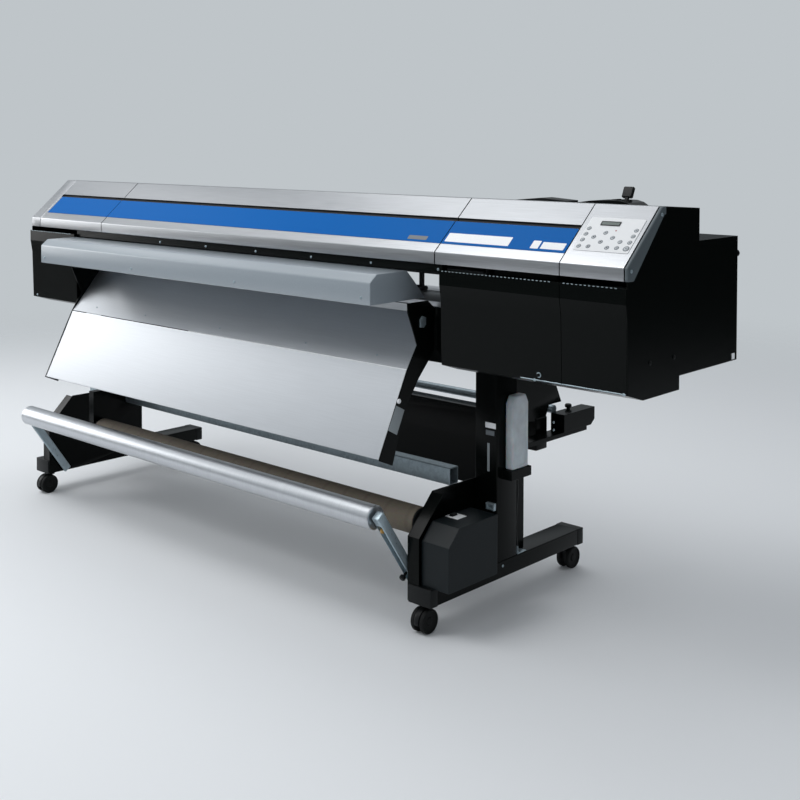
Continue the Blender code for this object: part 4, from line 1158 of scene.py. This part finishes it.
class CUTTER_OT_add_bottle(bpy.types.Operator):
    """Blow the waste bottle: rounded walls with a sunk panel in each face"""
    bl_idname = "cutter.add_bottle"
    bl_label = "Waste Bottle"

    def execute(self, context):
        low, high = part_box("waste_bottle")
        d0, d1 = low.y - FRONT, high.y - FRONT
        outline = [(d0, low.z), (d0, high.z - 0.026), (d0 + 0.014, high.z),
                   (d1 - 0.014, high.z), (d1, high.z - 0.026), (d1, low.z)]
        bottle = outline_plate("bottle", outline, (low.x, high.x), 0.0055, 4)
        pick(bottle, "FACE", lambda face: abs(face.normal.x) > 0.99)
        bpy.ops.mesh.inset(thickness=0.006)
        bpy.ops.mesh.extrude_region_shrink_fatten(
            TRANSFORM_OT_shrink_fatten={"value": -0.0012})
        leave_edit()
        settle(bottle, "bottle", "waste_bottle", ("waste_bottle",), 60)
        return {"FINISHED"}


class CUTTER_OT_add_lever(bpy.types.Operator):
    """Round the loading lever and build the stepped guide that it swings in"""
    bl_idname = "cutter.add_lever"
    bl_label = "Loading Lever"

    def execute(self, context):
        eased("loading_lever", "black", 0.0018, 3)
        low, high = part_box("loading_lever")
        x = (low.x + high.x) / 2
        y = back(0.260)
        shells = []
        middle, height = x - 0.012, 1.1925
        # each step stays under the arc that the paddle's foot sweeps
        for radius, reach in ((0.0635, 0.0340), (0.0687, 0.0240), (0.0720, 0.0140)):
            dome = bar("dome", (middle, y - reach, height), (middle, y + reach, height),
                       radius, 0.0012, 96)
            cut_with(dome, block("below", (x - 0.2, x + 0.2), (y - 0.1, y + 0.1),
                                 (1.0, COVER_HIGH.z - 0.004)),
                     block("slot", (x - 0.0085, x + 0.0085), (y - 0.030, y + 0.036),
                           (1.2, 1.3)))
            shells.append(dome)
        settle(merge("lever_hub", *shells), "black", "rear_top_cover")
        crest = [(0.857 - FRONT, 1.2470), (1.000 - FRONT, 1.2605), (1.092 - FRONT, 1.2545),
                 (1.092 - FRONT, 1.2470)]
        ridge = outline_plate("rear_ridge", crest, (-0.030, 0.030), 0.0012)
        ridge.rotation_euler.z = -pi / 2
        ridge.location.y = y
        settle(ridge, "black", "rear_top_cover")
        return {"FINISHED"}


class CUTTER_OT_add_labels(bpy.types.Operator):
    """Lay the bare labels and the badge on the blue film and the cover above it"""
    bl_idname = "cutter.add_labels"
    bl_label = "Bare Labels"

    LABELS = (  # name, x, up the slope, material, slot
        ("long_label", (0.7975, 1.0315), (0.043, 0.078), "label", "right_blue_strip"),
        ("small_label", (1.1075, 1.1345), (0.042, 0.072), "label", "right_blue_strip"),
        ("wide_label", (1.1415, 1.2185), (0.043, 0.069), "label", "right_blue_strip"),
        ("cover_badge", (0.6505, 0.7265), (0.042, 0.058), "key", "front_blue_strip"),
    )

    def execute(self, context):
        for node in ("left_blue_strip", "front_blue_strip", "right_blue_strip"):
            eased(node, "film", 0.0002, 1)
        for name, x, distance, material, slot in self.LABELS:
            label = slope_plate(name, x, distance, (0.0011, 0.0014), 0.002, 0.0001)
            settle(label, material, slot)
        return {"FINISHED"}


class CUTTER_OT_add_stage(bpy.types.Operator):
    """Set up the floor, the lamps, the backdrop and the camera"""
    bl_idname = "cutter.add_stage"
    bl_label = "Studio"

    LAMPS = (  # name, place, aim, width, height, watts
        ("key_softbox", (-5.6, -1.9, 1.9), (-0.3, -0.4, 0.8), 2.8, 2.8, 84.0),
        ("front_softbox", (-1.2, -2.7, 4.7), (-0.3, -1.3, 0.0), 3.0, 2.4, 86.0),
        ("left_softbox", (-3.7, -0.2, 3.5), (-0.5, -0.3, 1.0), 1.1, 1.1, 3.5),
        ("top_softbox", (-0.7, -1.5, 4.3), (0.2, -0.8, 0.8), 2.6, 1.6, 22.0),
        ("overhead_softbox", (-0.8, 1.2, 4.3), (-0.2, -0.2, 0.8), 3.8, 1.8, 30.0),
    )

    def execute(self, context):
        scene = context.scene
        scene.view_settings.view_transform = "Standard"
        self.add_floor()
        self.add_backdrop(scene)
        for name, place, aim, width, height, power in self.LAMPS:
            clear_selection()
            turn = (Vector(aim) - Vector(place)).to_track_quat("-Z", "Y").to_euler()
            bpy.ops.object.light_add(type="AREA", location=place, rotation=turn)
            lamp = context.view_layer.objects.active
            lamp.name = name
            lamp.data.shape = "RECTANGLE"
            lamp.data.size, lamp.data.size_y = width, height
            lamp.data.energy = power
        self.add_camera(scene)
        return {"FINISHED"}

    def add_floor(self):
        clear_selection()
        bpy.ops.mesh.primitive_plane_add(size=40.0)
        floor = named("floor")
        material, tree, shader, where = new_material("studio_floor", hex_colour("#e9ecef"),
                                                     0.7)
        distance = add_node(tree, "ShaderNodeVectorMath", (-700, 0),
                            {"operation": "LENGTH"}, {0: (where, "Object")})
        fade = add_node(tree, "ShaderNodeMapRange", (-500, 0),
                        {"interpolation_type": "SMOOTHSTEP", "From Min": 2.6,
                         "From Max": 6.5}, {"Value": (distance, "Value")})
        clear = add_node(tree, "ShaderNodeBsdfTransparent", (-300, -200))
        blend = add_node(tree, "ShaderNodeMixShader", (100, 0), None,
                         {0: (fade, "Result"), 1: (shader, "BSDF"), 2: (clear, "BSDF")})
        tree.links.new(blend.outputs[0], tree.nodes["Material Output"].inputs["Surface"])
        floor.data.materials.append(material)

    def add_backdrop(self, scene):
        world = bpy.data.worlds.new("studio")
        scene.world = world
        world.use_nodes = True
        tree = world.node_tree
        output = tree.nodes["World Output"]
        soft = tree.nodes["Background"]
        soft.inputs["Color"].default_value = hex_colour("#f0f4f8")
        soft.inputs["Strength"].default_value = 0.50
        where = add_node(tree, "ShaderNodeTexCoord", (-1200, -200))
        height = add_node(tree, "ShaderNodeVectorMath", (-1000, -200),
                          {"operation": "DOT_PRODUCT", 1: (-0.12, -0.12, 1.0)},
                          {0: (where, "Generated")})
        room = add_node(tree, "ShaderNodeValToRGB", (-600, -200), None,
                        {"Fac": (height, "Value")})
        set_stops(room, (0.0, hex_colour("#0e1112")), (0.30, hex_colour("#b4babe")))
        for place, tone in ((0.06, "#4a5053"), (0.80, "#c9ced2")):
            room.color_ramp.elements.new(place).color = hex_colour(tone)
        seen = add_node(tree, "ShaderNodeBackground", (-200, -100),
                        {"Color": hex_colour("#bfc5c9"), "Strength": 1.0})
        mirrored = add_node(tree, "ShaderNodeBackground", (-200, -300), {"Strength": 1.0},
                            {"Color": (room, "Color")})
        light = add_node(tree, "ShaderNodeLightPath", (-600, 500))
        glossy = add_node(tree, "ShaderNodeMath", (-300, 300), {"operation": "MAXIMUM"},
                          {0: (light, "Is Glossy Ray"), 1: (light, "Is Transmission Ray")})
        first = add_node(tree, "ShaderNodeMixShader", (0, 100), None,
                         {0: (glossy, 0), 1: (soft, 0), 2: (mirrored, 0)})
        second = add_node(tree, "ShaderNodeMixShader", (200, 100), None,
                          {0: (light, "Is Camera Ray"), 1: (first, 0), 2: (seen, 0)})
        tree.links.new(second.outputs[0], output.inputs["Surface"])

    def add_camera(self, scene):
        clear_selection()
        turn = (Matrix.Rotation(radians(42.4293), 3, "Z")
                @ Matrix.Rotation(radians(90 - 1.7562), 3, "X")
                @ Matrix.Rotation(radians(0.1247), 3, "Z"))
        bpy.ops.object.camera_add(location=(3.0792, -2.9094, 1.4305),
                                  rotation=turn.to_euler())
        camera = bpy.context.view_layer.objects.active
        camera.name = "camera"
        camera.data.sensor_width = 36.0
        camera.data.lens = 53.87
        camera.data.shift_x = -0.0062
        camera.data.shift_y = -0.2796
        camera.data.clip_end = 100.0
        scene.camera = camera


# ---- the add-on ---------------------------------------------------------------------------
PIECES = (
    CUTTER_OT_finish_frame,
    CUTTER_OT_add_top_covers,
    CUTTER_OT_add_end_caps,
    CUTTER_OT_add_body_shell,
    CUTTER_OT_add_control_panel,
    CUTTER_OT_add_hood,
    CUTTER_OT_add_apron,
    CUTTER_OT_add_stand,
    CUTTER_OT_add_casters,
    CUTTER_OT_add_takeup,
    CUTTER_OT_add_dancer,
    CUTTER_OT_add_roll_rack,
    CUTTER_OT_add_bottle,
    CUTTER_OT_add_lever,
    CUTTER_OT_add_labels,
    CUTTER_OT_add_stage,
)


class CUTTER_PT_pieces(bpy.types.Panel):
    """Lists the settings and the pieces of the printer cutter"""
    bl_idname = "CUTTER_PT_pieces"
    bl_label = "Printer Cutter"
    bl_space_type = "VIEW_3D"
    bl_region_type = "UI"
    bl_category = "Printer Cutter"

    def draw(self, context):
        for settings in (finishes(), sizes()):
            box = self.layout.box()
            for key in settings.__annotations__:
                box.prop(settings, key)
        for piece in PIECES:
            self.layout.operator(piece.bl_idname)


CLASSES = (CutterFinishes, CutterSizes, *PIECES, CUTTER_PT_pieces)


def register():
    for item in CLASSES:
        bpy.utils.register_class(item)
    bpy.types.Scene.cutter_finishes = PointerProperty(type=CutterFinishes)
    bpy.types.Scene.cutter_sizes = PointerProperty(type=CutterSizes)


def unregister():
    del bpy.types.Scene.cutter_sizes
    del bpy.types.Scene.cutter_finishes
    for item in reversed(CLASSES):
        bpy.utils.unregister_class(item)


def main():
    register()
    for piece in PIECES:
        group, name = piece.bl_idname.split(".")
        getattr(getattr(bpy.ops, group), name)()


if __name__ == "__main__":
    main()
